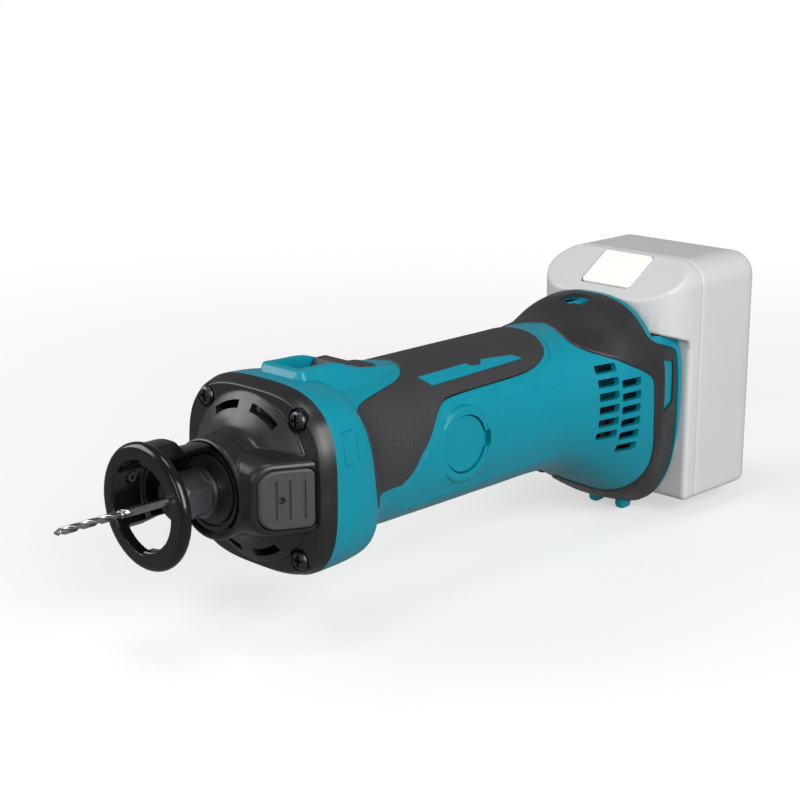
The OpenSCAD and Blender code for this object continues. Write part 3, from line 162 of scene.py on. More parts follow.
def skin(place, angle, out=0.0):
    """Housing surface: a superellipse across the tool at each place, whose half width, height and
    squareness follow the sections; angle 0 is the left side, 90 the top; out moves it outwards."""
    place, angle, out = np.broadcast_arrays(*np.atleast_1d(place, angle, out))
    row = smooth_rows(SECTIONS, place)
    row[..., 1] = np.minimum(row[..., 1], flange_w)
    c, s = np.cos(np.radians(angle)), np.sin(np.radians(angle))
    upper = s >= 0
    power = 2 / np.where(upper, row[..., 4], row[..., 5])
    y = -(row[..., 1] + out) * np.sign(c) * np.abs(c) ** power
    z = (np.where(upper, row[..., 2], row[..., 3]) + out) * np.sign(s) * np.abs(s) ** power
    return np.stack([place - row[..., 6] * z, y, z], -1)


def quads(rows, cols, ring_rows=False, ring_cols=False):
    """Faces between neighbouring points of a grid that is numbered along its rows."""
    i, j = np.meshgrid(np.arange(rows - (not ring_rows)), np.arange(cols - (not ring_cols)), indexing="ij")
    row, below, right = i * cols, (i + 1) % rows * cols, (j + 1) % cols
    return np.stack([row + j, row + right, below + right, below + j], -1).reshape(-1, 4)


def sewn(outer, inner):
    """Solid between two grids of one size: both grids, and a strip round their four edges."""
    rows, cols = outer.shape[:2]
    count = rows * cols
    down, across = np.arange(rows - 1), np.arange(cols - 1)
    edge = np.concatenate([across, cols - 1 + cols * down, count - 1 - across, cols * (rows - 1 - down)])
    following = np.roll(edge, -1)
    strip = np.stack([edge, edge + count, following + count, following], -1)
    sheet = quads(rows, cols)
    points = np.concatenate([outer.reshape(-1, 3), inner.reshape(-1, 3)])
    return points, [sheet, sheet[:, ::-1] + count, strip]


def loft(rings):
    """Solid through closed rings with the same number of points, with a flat face on each end."""
    rings = np.asarray(rings, float)
    rows, cols = rings.shape[:2]
    first = np.arange(cols)[None, ::-1]
    last = (rows - 1) * cols + first[:, ::-1]
    return rings.reshape(-1, 3), [quads(rows, cols, ring_cols=True), first, last]


def turned(profile, centre=(0, 0, 0), axis="x", steps=96):
    """Profile of places and radii turned about an axis; it closes as poles where it starts on the
    axis, and as a ring where it doesn't."""
    place, radius = (column[:, None] for column in np.asarray(profile, float).T)
    turn = np.linspace(0, 2 * pi, steps, endpoint=False)
    along, across, up = place + 0 * turn, radius * np.cos(turn), radius * np.sin(turn)
    points = np.stack([along, across, up] if axis == "x" else [across, along, up], -1)
    ring = radius[0, 0] > 0
    return (points + centre).reshape(-1, 3), [quads(len(place), steps, ring, True)]


def sector(profile, start, stop, steps=60):
    """Closed profile of places and radii turned about the spindle between two clock angles,
    where 0 is twelve o'clock and 90 is the tool's right."""
    place, radius = np.asarray(profile, float).T
    turn = np.radians(np.linspace(start, stop, steps))[:, None]
    return loft(np.stack([place + 0 * turn, radius * np.sin(turn), radius * np.cos(turn)], -1))


def ring_section(low, high, inner, outer):
    """Rectangular section of a ring: places, then radii."""
    return [[low, inner], [low, outer], [high, outer], [high, inner]]


def tube(path, radius, across=(0, 1, 0), sides=8, closed=False):
    """Round bar along a path: a circle in the plane across it at each point; a closed path has no ends."""
    path = np.asarray(path, float)
    along = np.roll(path, -1, 0) - np.roll(path, 1, 0) if closed else np.gradient(path, axis=0)
    first = np.cross(along, across)
    first /= np.linalg.norm(first, axis=1)[:, None]
    second = np.cross(along, first)
    second /= np.linalg.norm(second, axis=1)[:, None]
    turn = np.linspace(0, 2 * pi, sides, endpoint=False)[None, :, None]
    rings = path[:, None] + radius * (np.cos(turn) * first[:, None] + np.sin(turn) * second[:, None])
    return (rings.reshape(-1, 3), [quads(len(path), sides, True, True)]) if closed else loft(rings)


def rounded(low, high, radii, steps=8):
    """Rectangle between two corners, with one corner radius at its low end and one at its high end."""
    turn = np.linspace(0, pi / 2, steps)
    corners = [(low[0], low[1], radii[0], 2), (high[0], low[1], radii[1], 3),
               (high[0], high[1], radii[1], 0), (low[0], high[1], radii[0], 1)]
    arcs = []
    for u, v, radius, quarter in corners:
        a = turn + quarter * pi / 2
        side_u, side_v = (1 if quarter in (1, 2) else -1), (1 if quarter in (2, 3) else -1)
        arcs.append(np.stack([u + radius * (side_u + np.cos(a)), v + radius * (side_v + np.sin(a))], -1))
    return np.concatenate(arcs)


def soft_edge(base, top, radius, steps=6):
    """Heights and insets of a plate whose top edge is a quarter round."""
    turn = np.linspace(0, pi / 2, steps)
    rise = np.sign(top - base) * radius
    return [(base, 0.0), *zip(top - rise * (1 - np.sin(turn)), radius * (1 - np.cos(turn)))]


def plate(low, high, radii, levels):
    """Rings of a rounded rectangle, drawn in by each level's inset, as (u, v, height)."""
    low, high, radii = (np.asarray(value, float) for value in (low, high, radii))
    outlines = np.array([
        rounded(low + inset, high - inset, np.maximum(radii - inset, LEAST_ROUND)) for _, inset in levels])
    heights = np.array([height for height, _ in levels])[:, None, None]
    return np.concatenate([outlines, heights + 0 * outlines[..., :1]], -1)


def prism(outline, low, high, axis):
    """Outline carried straight along an axis from low to high; its columns are the other two axes."""
    outline = np.asarray(outline, float)
    ends = np.array([low, high], float)[:, None]
    column = [outline[None, :, 0] + 0 * ends, outline[None, :, 1] + 0 * ends]
    column.insert("xyz".index(axis), ends + 0 * outline[None, :, 0])
    return loft(np.stack(column, -1))


# Objects: distance at which points are one, and length of edges that cutting leaves as slivers
SAME_POINT, SLIVER = 0.0005, 0.01


def solid(name, *shapes):
    """One object of closed shapes, with doubles merged and faces turned outwards."""
    points, faces, count = [], [], 0
    for shape_points, blocks in shapes:
        points.append(shape_points)
        for block in blocks:
            faces += (block + count).tolist()
        count += len(shape_points)
    mesh = bpy.data.meshes.new(name)
    mesh.from_pydata((np.concatenate(points) * MM).tolist(), [], faces)
    work = bmesh.new()
    work.from_mesh(mesh)
    bmesh.ops.remove_doubles(work, verts=work.verts, dist=SAME_POINT * MM)
    bmesh.ops.recalc_face_normals(work, faces=work.faces)
    work.to_mesh(mesh)
    work.free()
    piece = bpy.data.objects.new(name, mesh)
    bpy.context.scene.collection.objects.link(piece)
    return piece


def settle(piece):
    """Turn a piece's modifiers into its mesh."""
    shaped = bpy.data.meshes.new_from_object(piece.evaluated_get(bpy.context.evaluated_depsgraph_get()))
    piece.modifiers.clear()
    plain, piece.data = piece.data, shaped
    bpy.data.meshes.remove(plain)
    return piece


def work_on(piece, operation, *tools):
    """Join solids to a piece, cut them away, or keep what they share with it."""
    for tool in tools:
        change = piece.modifiers.new(operation, "BOOLEAN")
        change.operation, change.solver, change.object = operation, "MANIFOLD", tool
    settle(piece)
    for tool in tools:
        bpy.data.objects.remove(tool)
    return piece


def soften(piece, voxel, passes):
    """Round all edges as moulding does: remesh on a fine lattice, then smooth a few times."""
    lattice = piece.modifiers.new("lattice", "REMESH")
    lattice.mode, lattice.voxel_size = "VOXEL", voxel * MM
    rub = piece.modifiers.new("rub", "SMOOTH")
    rub.factor, rub.iterations = 0.5, passes
    return settle(piece)


def other_side(piece, name):
    """Mirror image of a piece across the tool's middle plane, with its faces turned back outwards."""
    mesh = piece.data.copy()
    mesh.transform(Matrix.Diagonal((1, -1, 1, 1)))
    mesh.flip_normals()
    copy = bpy.data.objects.new(name, mesh)
    bpy.context.scene.collection.objects.link(copy)
    return copy


def dress(piece, body, material, replaced=(), sharp=35):
    """Clear slivers left by cutting, shade a piece smooth up to an angle, give it its finish, and
    hang it on its body."""
    piece.data.name = piece.name
    work = bmesh.new()
    work.from_mesh(piece.data)
    bmesh.ops.dissolve_degenerate(work, edges=work.edges, dist=SLIVER * MM)
    work.to_mesh(piece.data)
    work.free()
    piece.data.shade_smooth()
    piece.data.set_sharp_from_angle(angle=radians(sharp))
    even = piece.modifiers.new("even", "WEIGHTED_NORMAL")
    even.keep_sharp = True
    piece.data.materials.clear()
    piece.data.materials.append(material)
    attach(piece, body)
    if replaced:
        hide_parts(*replaced)
    return piece


# Materials: sizes of cloudy tint and gloss, and the middle range of a noise
PLASTIC_TINT, PLASTIC_GLOSS, RUBBER_TINT, METAL_CLOUD = 35, 6, 20, 4
NOISE_LOW, NOISE_HIGH = 0.3, 0.7


def linear(code, alpha=1.0):
    """Linear colour of an sRGB hex code."""
    value = np.array([int(code[i:i + 2], 16) for i in (1, 3, 5)]) / 255
    value = np.where(value <= 0.04045, value / 12.92, ((value + 0.055) / 1.055) ** 2.4)
    return (*value.tolist(), alpha)


def put(tree, kind, inputs=(), **settings):
    """Add a node, set its properties, and set or link its inputs."""
    node = tree.nodes.new(kind)
    for name, value in settings.items():
        setattr(node, name, value)
    for name, value in dict(inputs).items():
        if isinstance(value, bpy.types.NodeSocket):
            tree.links.new(value, node.inputs[name])
        else:
            node.inputs[name].default_value = value
    return node


def per_metre(size):
    """Texture scale that gives a pattern a size in millimetres."""
    return 1 / (size * MM)


def blank(name):
    """New material with its shader, and the object coordinates that its patterns read."""
    material = bpy.data.materials.new(name)
    material.use_nodes = True
    tree = material.node_tree
    shader = tree.nodes["Principled BSDF"]
    place = put(tree, "ShaderNodeTexCoord").outputs["Object"]
    return material, tree, shader, place


def show(tree, shader, tint, gloss, bump):
    """Give a shader its colour, roughness and relief."""
    tree.links.new(tint.outputs["Result"], shader.inputs["Base Color"])
    tree.links.new(gloss.outputs["Result"], shader.inputs["Roughness"])
    tree.links.new(bump.outputs["Normal"], shader.inputs["Normal"])


def moulded(name, colour, fleck, rough, grain=0.5, relief=0.02, coat=0.0, ior=1.5):
    """Moulded plastic: broad uneven tint, a slightly uneven gloss and a fine spark-eroded grain."""
    material, tree, shader, place = blank(name)
    broad = put(tree, "ShaderNodeTexNoise", {
        "Vector": place, "Scale": per_metre(PLASTIC_TINT), "Detail": 3.0})
    tint = put(tree, "ShaderNodeMix", {
        "Factor": broad.outputs["Fac"], "A": linear(colour), "B": linear(fleck)}, data_type="RGBA")
    patch = put(tree, "ShaderNodeTexNoise", {
        "Vector": place, "Scale": per_metre(PLASTIC_GLOSS), "Detail": 4.0})
    gloss = put(tree, "ShaderNodeMapRange", {
        "Value": patch.outputs["Fac"], "From Min": NOISE_LOW, "From Max": NOISE_HIGH,
        "To Min": rough - 0.05, "To Max": rough + 0.05})
    fine = put(tree, "ShaderNodeTexNoise", {"Vector": place, "Scale": per_metre(grain), "Detail": 2.0})
    bump = put(tree, "ShaderNodeBump", {
        "Height": fine.outputs["Fac"], "Strength": 0.35, "Distance": relief * MM})
    show(tree, shader, tint, gloss, bump)
    shader.inputs["IOR"].default_value = ior
    shader.inputs["Coat Weight"].default_value = coat
    return material


def stippled(name, colour, fleck, rough, dot, relief, fade_low, fade_high):
    """Soft overmould: close round dots pressed by the tool, deep low on the grip and fading upwards."""
    material, tree, shader, place = blank(name)
    broad = put(tree, "ShaderNodeTexNoise", {"Vector": place, "Scale": per_metre(RUBBER_TINT), "Detail": 3.0})
    tint = put(tree, "ShaderNodeMix", {
        "Factor": broad.outputs["Fac"], "A": linear(colour), "B": linear(fleck)}, data_type="RGBA")
    height = put(tree, "ShaderNodeSeparateXYZ", {"Vector": place}).outputs["Z"]
    depth = put(tree, "ShaderNodeMapRange", {
        "Value": height, "From Min": fade_low * MM, "From Max": fade_high * MM,
        "To Min": 1.0, "To Max": 0.25})
    dots = put(tree, "ShaderNodeTexVoronoi", {"Vector": place, "Scale": per_metre(dot)}, feature="SMOOTH_F1")
    bump = put(tree, "ShaderNodeBump", {
        "Height": dots.outputs["Distance"], "Strength": depth.outputs["Result"], "Distance": relief * MM})
    gloss = put(tree, "ShaderNodeMapRange", {
        "Value": dots.outputs["Distance"], "To Min": rough - 0.08, "To Max": rough + 0.1})
    show(tree, shader, tint, gloss, bump)
    shader.inputs["IOR"].default_value = 1.47
    return material


def metal(name, colour, stain, rough, line, stretch=(1, 1, 1), relief=0.01):
    """Machined or plated metal: tool lines stretched along the cut, and a cloudy film of handling."""
    material, tree, shader, place = blank(name)
    shader.inputs["Metallic"].default_value = 1.0
    along = put(tree, "ShaderNodeMapping", {"Vector": place, "Scale": stretch})
    lines = put(tree, "ShaderNodeTexNoise", {
        "Vector": along.outputs["Vector"], "Scale": per_metre(line), "Detail": 3.0})
    cloud = put(tree, "ShaderNodeTexNoise", {"Vector": place, "Scale": per_metre(METAL_CLOUD), "Detail": 3.0})
    tint = put(tree, "ShaderNodeMix", {
        "Factor": cloud.outputs["Fac"], "A": linear(colour), "B": linear(stain)}, data_type="RGBA")
    gloss = put(tree, "ShaderNodeMapRange", {
        "Value": lines.outputs["Fac"], "From Min": NOISE_LOW, "From Max": NOISE_HIGH,
        "To Min": rough - 0.06, "To Max": rough + 0.1})
    bump = put(tree, "ShaderNodeBump", {
        "Height": lines.outputs["Fac"], "Strength": 0.4, "Distance": relief * MM})
    show(tree, shader, tint, gloss, bump)
    return material


# Teal ABS, injection moulded: a satin skin with soft highlights and a barely uneven tint
teal_abs = moulded("moulded_abs_teal", "#008599", "#007e91", 0.34, grain=0.6, relief=0.015, ior=1.43)
# Black glass-filled nylon, moulded: deep colour with a semi-gloss that shows every rounded edge
black_nylon = moulded("moulded_nylon_black", "#18181a", "#1e1e20", 0.33, grain=0.5, relief=0.02)
# The same nylon from a polished mould: the guide's wet-looking gloss
gloss_nylon = moulded("polished_nylon_black", "#0b0b0c", "#101012", 0.14, grain=0.9, relief=0.008)
# Charcoal thermoplastic rubber, overmoulded with a stipple: the dots are drawn a little coarse to show
grip_rubber = stippled("overmoulded_rubber_charcoal", "#2c2c2e", "#343436", 0.6, 0.9, 0.22, 12, 30)
# Black rubber from a smooth mould: broad dull highlight, faint cloudiness
bumper_rubber = moulded("overmoulded_rubber_black", "#232325", "#2a2a2c", 0.4, grain=0.8, relief=0.03)
# Dark acetal, moulded and matt: slide knob and lock button, lit mostly by its edges
dark_acetal = moulded("moulded_acetal_dark", "#333335", "#3b3b3d", 0.5, grain=0.45, relief=0.03)
# Undyed nylon, moulded: creamy and slightly waxy
pale_nylon = moulded("moulded_nylon_natural", "#dcdad2", "#cfcdc4", 0.45)
# Pale grey polycarbonate, moulded: flat satin with thin bright edges
pack_grey = moulded("moulded_polycarbonate_grey", "#c8c9ca", "#c0c2c3", 0.42, grain=0.6, relief=0.015)
# White ABS, moulded smooth: bright and even, for the release button
release_white = moulded("moulded_abs_white", "#f4f4f1", "#ecece8", 0.35)
# Sintered ferrite, ground: dull charcoal with a sandy grain
ferrite = moulded("sintered_ferrite", "#38393b", "#444547", 0.75, grain=0.3, relief=0.05)
# Pressed carbon: black, dry and a little sparkly
carbon = moulded("pressed_carbon", "#232324", "#2f2f31", 0.6, grain=0.25, relief=0.04)
# Glass-epoxy laminate under green lacquer: dark green with a smooth gloss
laminate = moulded("lacquered_glass_epoxy", "#1f5a35", "#28693f", 0.35, grain=0.8)
# Shrink film over steel cells: blue-grey and glossy
cell_film = moulded("shrink_film_blue", "#6f8196", "#7c8da1", 0.3)
# Red vinyl insulation, extruded: smooth with a soft gloss
red_vinyl = moulded("extruded_vinyl_red", "#96231f", "#a32c27", 0.4)
# Zinc-plated steel, tumbled: bright, cloudy and slightly blue
zinc = metal("zinc_plated_steel", "#c3c6ca", "#a7abb0", 0.26, 0.6)
# High-speed steel, ground round: fine rings and a hard glint
ground_steel = metal("ground_tool_steel", "#b9babd", "#8f8b86", 0.24, 0.25, stretch=(6, 1, 1))
# Blackened steel, oil quenched: almost black with a dull sheen
black_steel = metal("blackened_steel", "#47484c", "#55555a", 0.32, 0.5)
# Dark steel with painted light: an even dark grey, lighter than the blackened steel to stand in for light
# that the shaded nut misses, that picks out the nut's flats
nut_steel_painted_light = metal("steel_painted_lighter_for_shade", "#6a6b70", "#76777c", 0.36, 0.5)
# Bearing steel, lapped: the brightest of the steels
lapped_steel = metal("lapped_bearing_steel", "#d0d3d6", "#bfc3c7", 0.16, 0.3, stretch=(5, 1, 1))
# Stamped electrical steel: thin stacked sheets seen as lines round the core
stamped_steel = metal(
    "stamped_electrical_steel", "#7d8085", "#66696e", 0.42, 0.7, stretch=(4, 1, 1), relief=0.04)
# Enamelled copper wire: warm, glossy, wound in fine lines
enamel_copper = metal("enamelled_copper", "#b5692f", "#9a5526", 0.3, 0.5, stretch=(1, 4, 4), relief=0.05)
# Rolled brass, stamped: warm yellow with a fine even sheen
rolled_brass = metal("rolled_brass", "#c7a24c", "#b08a3a", 0.3, 0.5)

FINISH = {
    "teal_shell": teal_abs, "black_shell": black_nylon, "soft_grip": grip_rubber,
    "bumper_rubber": bumper_rubber, "fastener_steel": zinc, "tool_steel": ground_steel,
    "dark_steel": black_steel, "bearing_steel": lapped_steel, "core_steel": stamped_steel,
    "magnet_ferrite": ferrite, "winding_copper": enamel_copper, "contact_brass": rolled_brass,
    "brush_carbon": carbon, "dark_plastic": dark_acetal, "light_plastic": pale_nylon,
    "pack_plastic": pack_grey, "board_laminate": laminate, "cell_can": cell_film, "lead_vinyl": red_vinyl,
}
for part in frame["record"]["subparts"]:
    carried = nodes[part["node"]].data.materials
    carried.clear()
    carried.append(FINISH[part["material_slot"]])


# Housing halves
ANGLES = np.linspace(-90, 90, 121)
FAR, ABOVE = 80, 60
# Spacing of rows along the tool, in the shell and in blocks of its form
SHELL_STEP, BLOCK_STEP = 1.2, 1.5
# Rubber: round of its edge, lift of the edge, gap and reach of its room, fall of the band past the crease
EDGE_ROUND, EDGE_LIFT = 1.1, 0.15
ROOM_GAP, ROOM_REACH = 0.05, 3.0
CREASE_FALL = 0.08


def angle_rows(table, count, ease):
    """Angles of an outline's rows, spaced evenly along its two edges; ease maps 0..1 onto that length."""
    fine = np.linspace(table[0][0], table[-1][0], 3000)
    row = smooth_rows(table, fine)
    edges = np.concatenate([skin(row[:, 1], fine), skin(row[:, 2], fine)], 1)
    length = np.concatenate([[0], np.cumsum(np.linalg.norm(np.diff(edges, axis=0), axis=1))])
    return np.interp(ease(np.linspace(0, 1, count)) * length[-1], length, fine)


def pillow(place, angle, border, up, down, radius):
    """Offset from the housing of a rubber face: full height inside, rolling down to its border
    in a quarter round by the distance to that border."""
    flat = skin(place, angle).reshape(-1, 3)
    gap = np.concatenate([
        np.linalg.norm(chunk[:, None] - border[None], axis=2).min(1) for chunk in np.array_split(flat, 40)])
    gap = np.clip(gap.reshape(place.shape) / radius, 0, 1)
    return up - (up + down) * (1 - np.sqrt(1 - (1 - gap) ** 2))


def rubber(table, rows, cols, ease, edge_rows=(), crease=None, room=False):
    """Rubber sheet on the housing inside an outline: a grid of angles by places, bunched towards
    the front and rear edges, which are rolled, as is the border along the edge rows; past a crease
    its face falls away. Its room is the same outline as a plain block, to be cut from the housing."""
    angle = angle_rows(table, rows, ease)[:, None]
    row = smooth_rows(table, angle[:, 0])
    share = (1 - np.cos(np.linspace(0, pi, cols))) / 2
    place = row[:, 1:2] + (row[:, 2:3] - row[:, 1:2]) * share
    angle = angle + 0 * place
    if room:
        return sewn(skin(place, angle, ROOM_REACH), skin(place, angle, ROOM_GAP - RUBBER_DOWN))
    border = [skin(place[:, 0], angle[:, 0]), skin(place[:, -1], angle[:, -1])]
    border += [skin(place[k], angle[k]) for k in edge_rows]
    out = pillow(place, angle, np.concatenate(border), RUBBER_UP, RUBBER_DOWN - EDGE_LIFT, EDGE_ROUND)
    if crease is not None:
        past = place - np.interp(angle, *np.array(crease, float).T)
        out = out - CREASE_FALL * np.clip(past, 0, None)
    return sewn(skin(place, angle, out), skin(place, angle, -RUBBER_DOWN))


def grip_rows(t):
    """Rows of the grip crowd towards its low point."""
    return 1 - np.cos(t * pi / 2)


def even_rows(t):
    """Rows lie evenly."""
    return t


def half_block(low, high, out):
    """Solid left half of the housing's form between two places."""
    places = np.linspace(low, high, max(int((high - low) / BLOCK_STEP), 2))
    return loft(skin(places[:, None], ANGLES[None], out))


def guard_half():
    """Left half of the switch guard: sloped side, rounded shoulder and flat top, along the tool."""
    places = np.concatenate([
        np.linspace(GUARD[0][0], GUARD_NOSE, 22), np.linspace(GUARD_NOSE + 1, GUARD[-1][0], 44)])
    foot, top, high = smooth_rows(GUARD, places)[:, 1:].T[:, None]
    shoulder = np.minimum(GUARD_SHOULDER, (high - GUARD_BASE) * 0.4)
    turn = np.linspace(radians(GUARD_LEAN), pi / 2, 12)[:, None]
    y = np.concatenate([0 * foot, -foot, -foot, -(top - shoulder) - shoulder * np.cos(turn), 0 * foot])
    z = np.concatenate([
        GUARD_ROOT + 0 * foot, GUARD_ROOT + 0 * foot, GUARD_BASE + 0 * foot,
        high - shoulder * (1 - np.sin(turn)), high])
    return loft(np.stack([places[:, None] + 0 * y.T, y.T, z.T], -1))


def on_skin(corners, per_degree, radius, out, steps=7):
    """Closed line on the housing round a rounded box of places and angles, where a degree is worth
    so many millimetres."""
    low, high = np.array(corners, float)
    scale = np.array([1, per_degree])
    line = rounded(low * scale, high * scale, (radius, radius), steps)
    line = np.concatenate([line, line[:1]])
    step = np.linspace(0, len(line) - 1, 6 * len(line), endpoint=False)
    line = np.stack([np.interp(step, np.arange(len(line)), line[:, k]) for k in (0, 1)], -1)
    return skin(line[:, 0], line[:, 1] / per_degree, out)


def beside_grip(reach):
    """Line on the housing at a distance behind the grip: each point of the grip's rear edge moved
    along the skin, square to the edge."""
    angle = angle_rows(GRIP, 400, even_rows)
    edge = skin(smooth_rows(GRIP, angle)[:, 2], angle)
    outward = skin(edge[:, 0], angle, 1.0) - skin(edge[:, 0], angle)
    side = np.cross(np.gradient(edge, axis=0), outward)
    return edge + side * (reach / np.linalg.norm(side, axis=1))[:, None]


# Switch well: front, rear, half width, floor
WELL = (66, 93, 7.2, 31.4)
THUMB_GAP = 0.3
# Strap opening, the round bar in it, and the smaller opening of the rubber over it
STRAP_X, STRAP_W, STRAP_HALF, STRAP_FLOOR = 231.5, 8.5, 4.5, 29.8
BAR_R, BAR_Z, BAR_HALF = 2.1, 34.4, 5
RUBBER_SLOT_HALF, RUBBER_SLOT_W = 4.2, 6.4
# Vent slots: size, how deep they cut, and each column's place, height of its top slot and step down
VENT_LENGTH, VENT_HEIGHT, VENT_ROUND, VENT_COUNT = 11, 3.4, 0.8, 6
VENT_FROM, VENT_TO = -60, -20
VENT_COLUMNS = [(208, 15.4, 5.55), (220.7, 8.0, 5.6)]
# Wings beside the pack: height at the head and at the tip, and a place past them
WING_TOP, WING_TIP, PAST_WING = 25, 19, wing_x + 20
# Cradle for the pack's tongue: half width, underside; rail inside each wing: two corners as place and height
TONGUE_W, TONGUE_Z = 30.95, -46.85
RAIL_LOW, RAIL_HIGH = np.array([252, -26]), np.array([255, 15])
# Foot under the rear: corners in plan, height of its root, round of its sides and of its sole
FOOT_LOW, FOOT_HIGH, FOOT_ROOT = (wing_x - 7, -10), (wing_x, -4.6), -52
FOOT_ROUND, SOLE_ROUND = 2.2, 2.0
# Bare fields with a thin line round them: places and angles of two corners
FRONT_FIELD = ((59.6, 7.6), (66.9, 27))
SIDE_FIELD = ((153.4, -3), (204, 23.5))
# Thin ridges low on the barrel: places and angles of their ends, steps down between them
RIDGE_ENDS, RIDGE_ANGLES, RIDGE_STEPS = [101, 188], np.array([-34.3, -29.7]), (0, 2.4, 4.8)
# Screws that join the halves, in from the right: place, height
SHELL_SCREWS = [
    (122.6, 20.4), (122.6, -20.4), (158.6, 14.5), (158.6, -19.6),
    (200, 20), (200, -19.6), (222, 21.5), (234, -40.5),
]
SHELL_SCREW_R, SHELL_SCREW_FLOOR = 3.9, 18
# Brush cap and the pad that it sits in: rolled edge as depth and distance out from the cap
cap_x, cap_z = (cap_low[0] + cap_high[0]) / 2, (cap_low[2] + cap_high[2]) / 2
cap_r = (cap_high[0] - cap_low[0]) / 2
cap_y = cap_low[1]
pad_y = cap_y - 0.6
PAD_ROLL = [[1.6, 4.0], [0.5, 3.5], [0.1, 2.8], [0, 2]]
PAD_ROOT, PAD_SKIRT, PAD_FLAT = -20, 4.4, 2
CAP_GAP, CAP_SEAT = 0.45, 2.4
NOTCH_LOW, NOTCH_HIGH, NOTCH_SEAT = (-1, -3), (2.6, 3.4), 1.6


def vent_slots():
    """Two columns of rounded slots through the left side."""
    slots = []
    for column, top, step in VENT_COLUMNS:
        for k in range(VENT_COUNT):
            low = (column, top - step * k - VENT_HEIGHT / 2)
            high = (column + VENT_LENGTH, low[1] + VENT_HEIGHT)
            slots.append(prism(rounded(low, high, (VENT_ROUND, VENT_ROUND)), VENT_FROM, VENT_TO, "y"))
    return solid("vents", *slots)


def tongue_outline(grow):
    """Outline across the tool of the pack's tongue, with sloped lower corners."""
    t, b = TONGUE_W + grow, TONGUE_Z - grow
    half = np.array([[t, 60], [t, b + 18.5], [t - 3.1, b + 11.5], [t - 9.1, b + 5], [t - 17.6, b]])
    return np.concatenate([half, half[::-1] * [-1, 1]])


def about_cap(name, profile):
    """Profile of places and radii turned about the brush cap's axis."""
    return solid(name, turned(profile, (cap_x, 0, cap_z), "y"))


def cap_pad():
    """Raised round pad with a rolled edge."""
    roll = (np.array([pad_y, cap_r]) + PAD_ROLL).tolist()
    return about_cap("pad", [[PAD_ROOT, 0], [PAD_ROOT, cap_r + PAD_SKIRT], *roll, [pad_y, 0]])


def cap_recess():
    """Cuts for the brush cap: the pad's flat face, the cap's seat, and a notch to lift the cap by."""
    flat, seat = cap_r + PAD_FLAT, cap_r + CAP_GAP
    edge = np.array([cap_x + cap_r, 0])
    return [
        about_cap("flat", [[-FAR, 0], [-FAR, flat], [pad_y, flat], [pad_y, 0]]),
        about_cap("recess", [[-FAR, 0], [-FAR, seat], [cap_y + CAP_SEAT, seat], [cap_y + CAP_SEAT, 0]]),
        solid("notch", prism(
            rounded(edge + NOTCH_LOW, edge + NOTCH_HIGH, (0.4, 0.8)), -FAR, cap_y + NOTCH_SEAT, "y")),
    ]


def pack_room():
    """Cuts for the pack: the wings' slanted tops, and the cradle that takes its tongue."""
    wedge = [
        [HEAD_X, WING_TOP], [wing_x + 0.5, WING_TIP], [PAST_WING, WING_TIP], [PAST_WING, 90], [HEAD_X, 90]]
    return [
        solid("wedge", prism(wedge, -FAR, 5, "y")),
        solid("cradle", prism(tongue_outline(0), HEAD_X, PAST_WING, "x")),
    ]


def switch_room():
    """Cuts for the knob's well, the thumb pad's seat and the strap."""
    front, rear, well_w, well_floor = WELL
    well = rounded((front, -well_w), (rear, well_w), (2.2, 1.2))
    thumb = rounded(thumb_low[:2] - THUMB_GAP, thumb_high[:2] + THUMB_GAP, (1.5, 2.5))
    strap = rounded((STRAP_X - STRAP_HALF, -STRAP_W), (STRAP_X + STRAP_HALF, STRAP_W), (1.5, 1.5))
    return [
        solid("well", prism(well, well_floor, ABOVE, "z")),
        solid("thumb", prism(thumb, thumb_low[2] - 0.2, ABOVE, "z")),
        solid("strap", prism(strap, STRAP_FLOOR, ABOVE, "z")),
    ]


def fine_lines():
    """Thin grooves: round the two bare fields, behind the grip, and where the head ends."""
    front_field = on_skin(FRONT_FIELD, per_degree=0.6, radius=1.4, out=-0.05)
    side_field = on_skin(SIDE_FIELD, per_degree=0.52, radius=2.6, out=0.06)
    head_end = skin(HEAD_X - 1, np.linspace(36, 90, 90))
    return [
        solid("line", tube(front_field, radius=0.36, across=(1, 0.2, 0.1), closed=True)),
        solid("line", tube(side_field, radius=0.2, across=(0, 1, 0.3), closed=True)),
        solid("line", tube(beside_grip(reach=2.2), radius=0.3)),
        solid("line", tube(head_end, radius=0.3, across=(1, 0, 0))),
    ]


def island_prism(grow):
    """Teal island's outline, grown about its middle and carried along its tilted direction."""
    middle = ISLAND.mean(0)
    along, across = (middle + (ISLAND - middle) * (1 + grow / ISLAND_HALF)).T
    depth = np.array([[20.0], [40.0]])
    c, s = np.cos(radians(ISLAND_TILT)), np.sin(radians(ISLAND_TILT))
    return loft(np.stack([along + 0 * depth, -depth * s + across * c, depth * c + across * s], -1))


def island_block():
    """Part of the housing's form, a little proud of the grip, inside the island's outline."""
    block = solid("island", half_block(*ISLAND_ROOM, RUBBER_UP + 0.1))
    return work_on(block, "INTERSECT", solid("edge", island_prism(-ISLAND_GAP)))


def strap_bar():
    """Left half of the round bar that a strap loops under, along the tool."""
    turn = np.linspace(pi / 2, 1.5 * pi, 16)
    outline = np.stack([BAR_R * np.cos(turn), BAR_Z + BAR_R * np.sin(turn)], -1)
    return solid("bar", prism(outline, STRAP_X - BAR_HALF, STRAP_X + BAR_HALF, "x"))


def barrel_ridges():
    """Three thin raised lines low along the barrel, drawing apart in angle."""
    place = np.linspace(*RIDGE_ENDS, 120)
    return [
        solid("ridge", tube(skin(place, np.interp(place, RIDGE_ENDS, RIDGE_ANGLES - step), -0.1), 0.32))
        for step in RIDGE_STEPS]


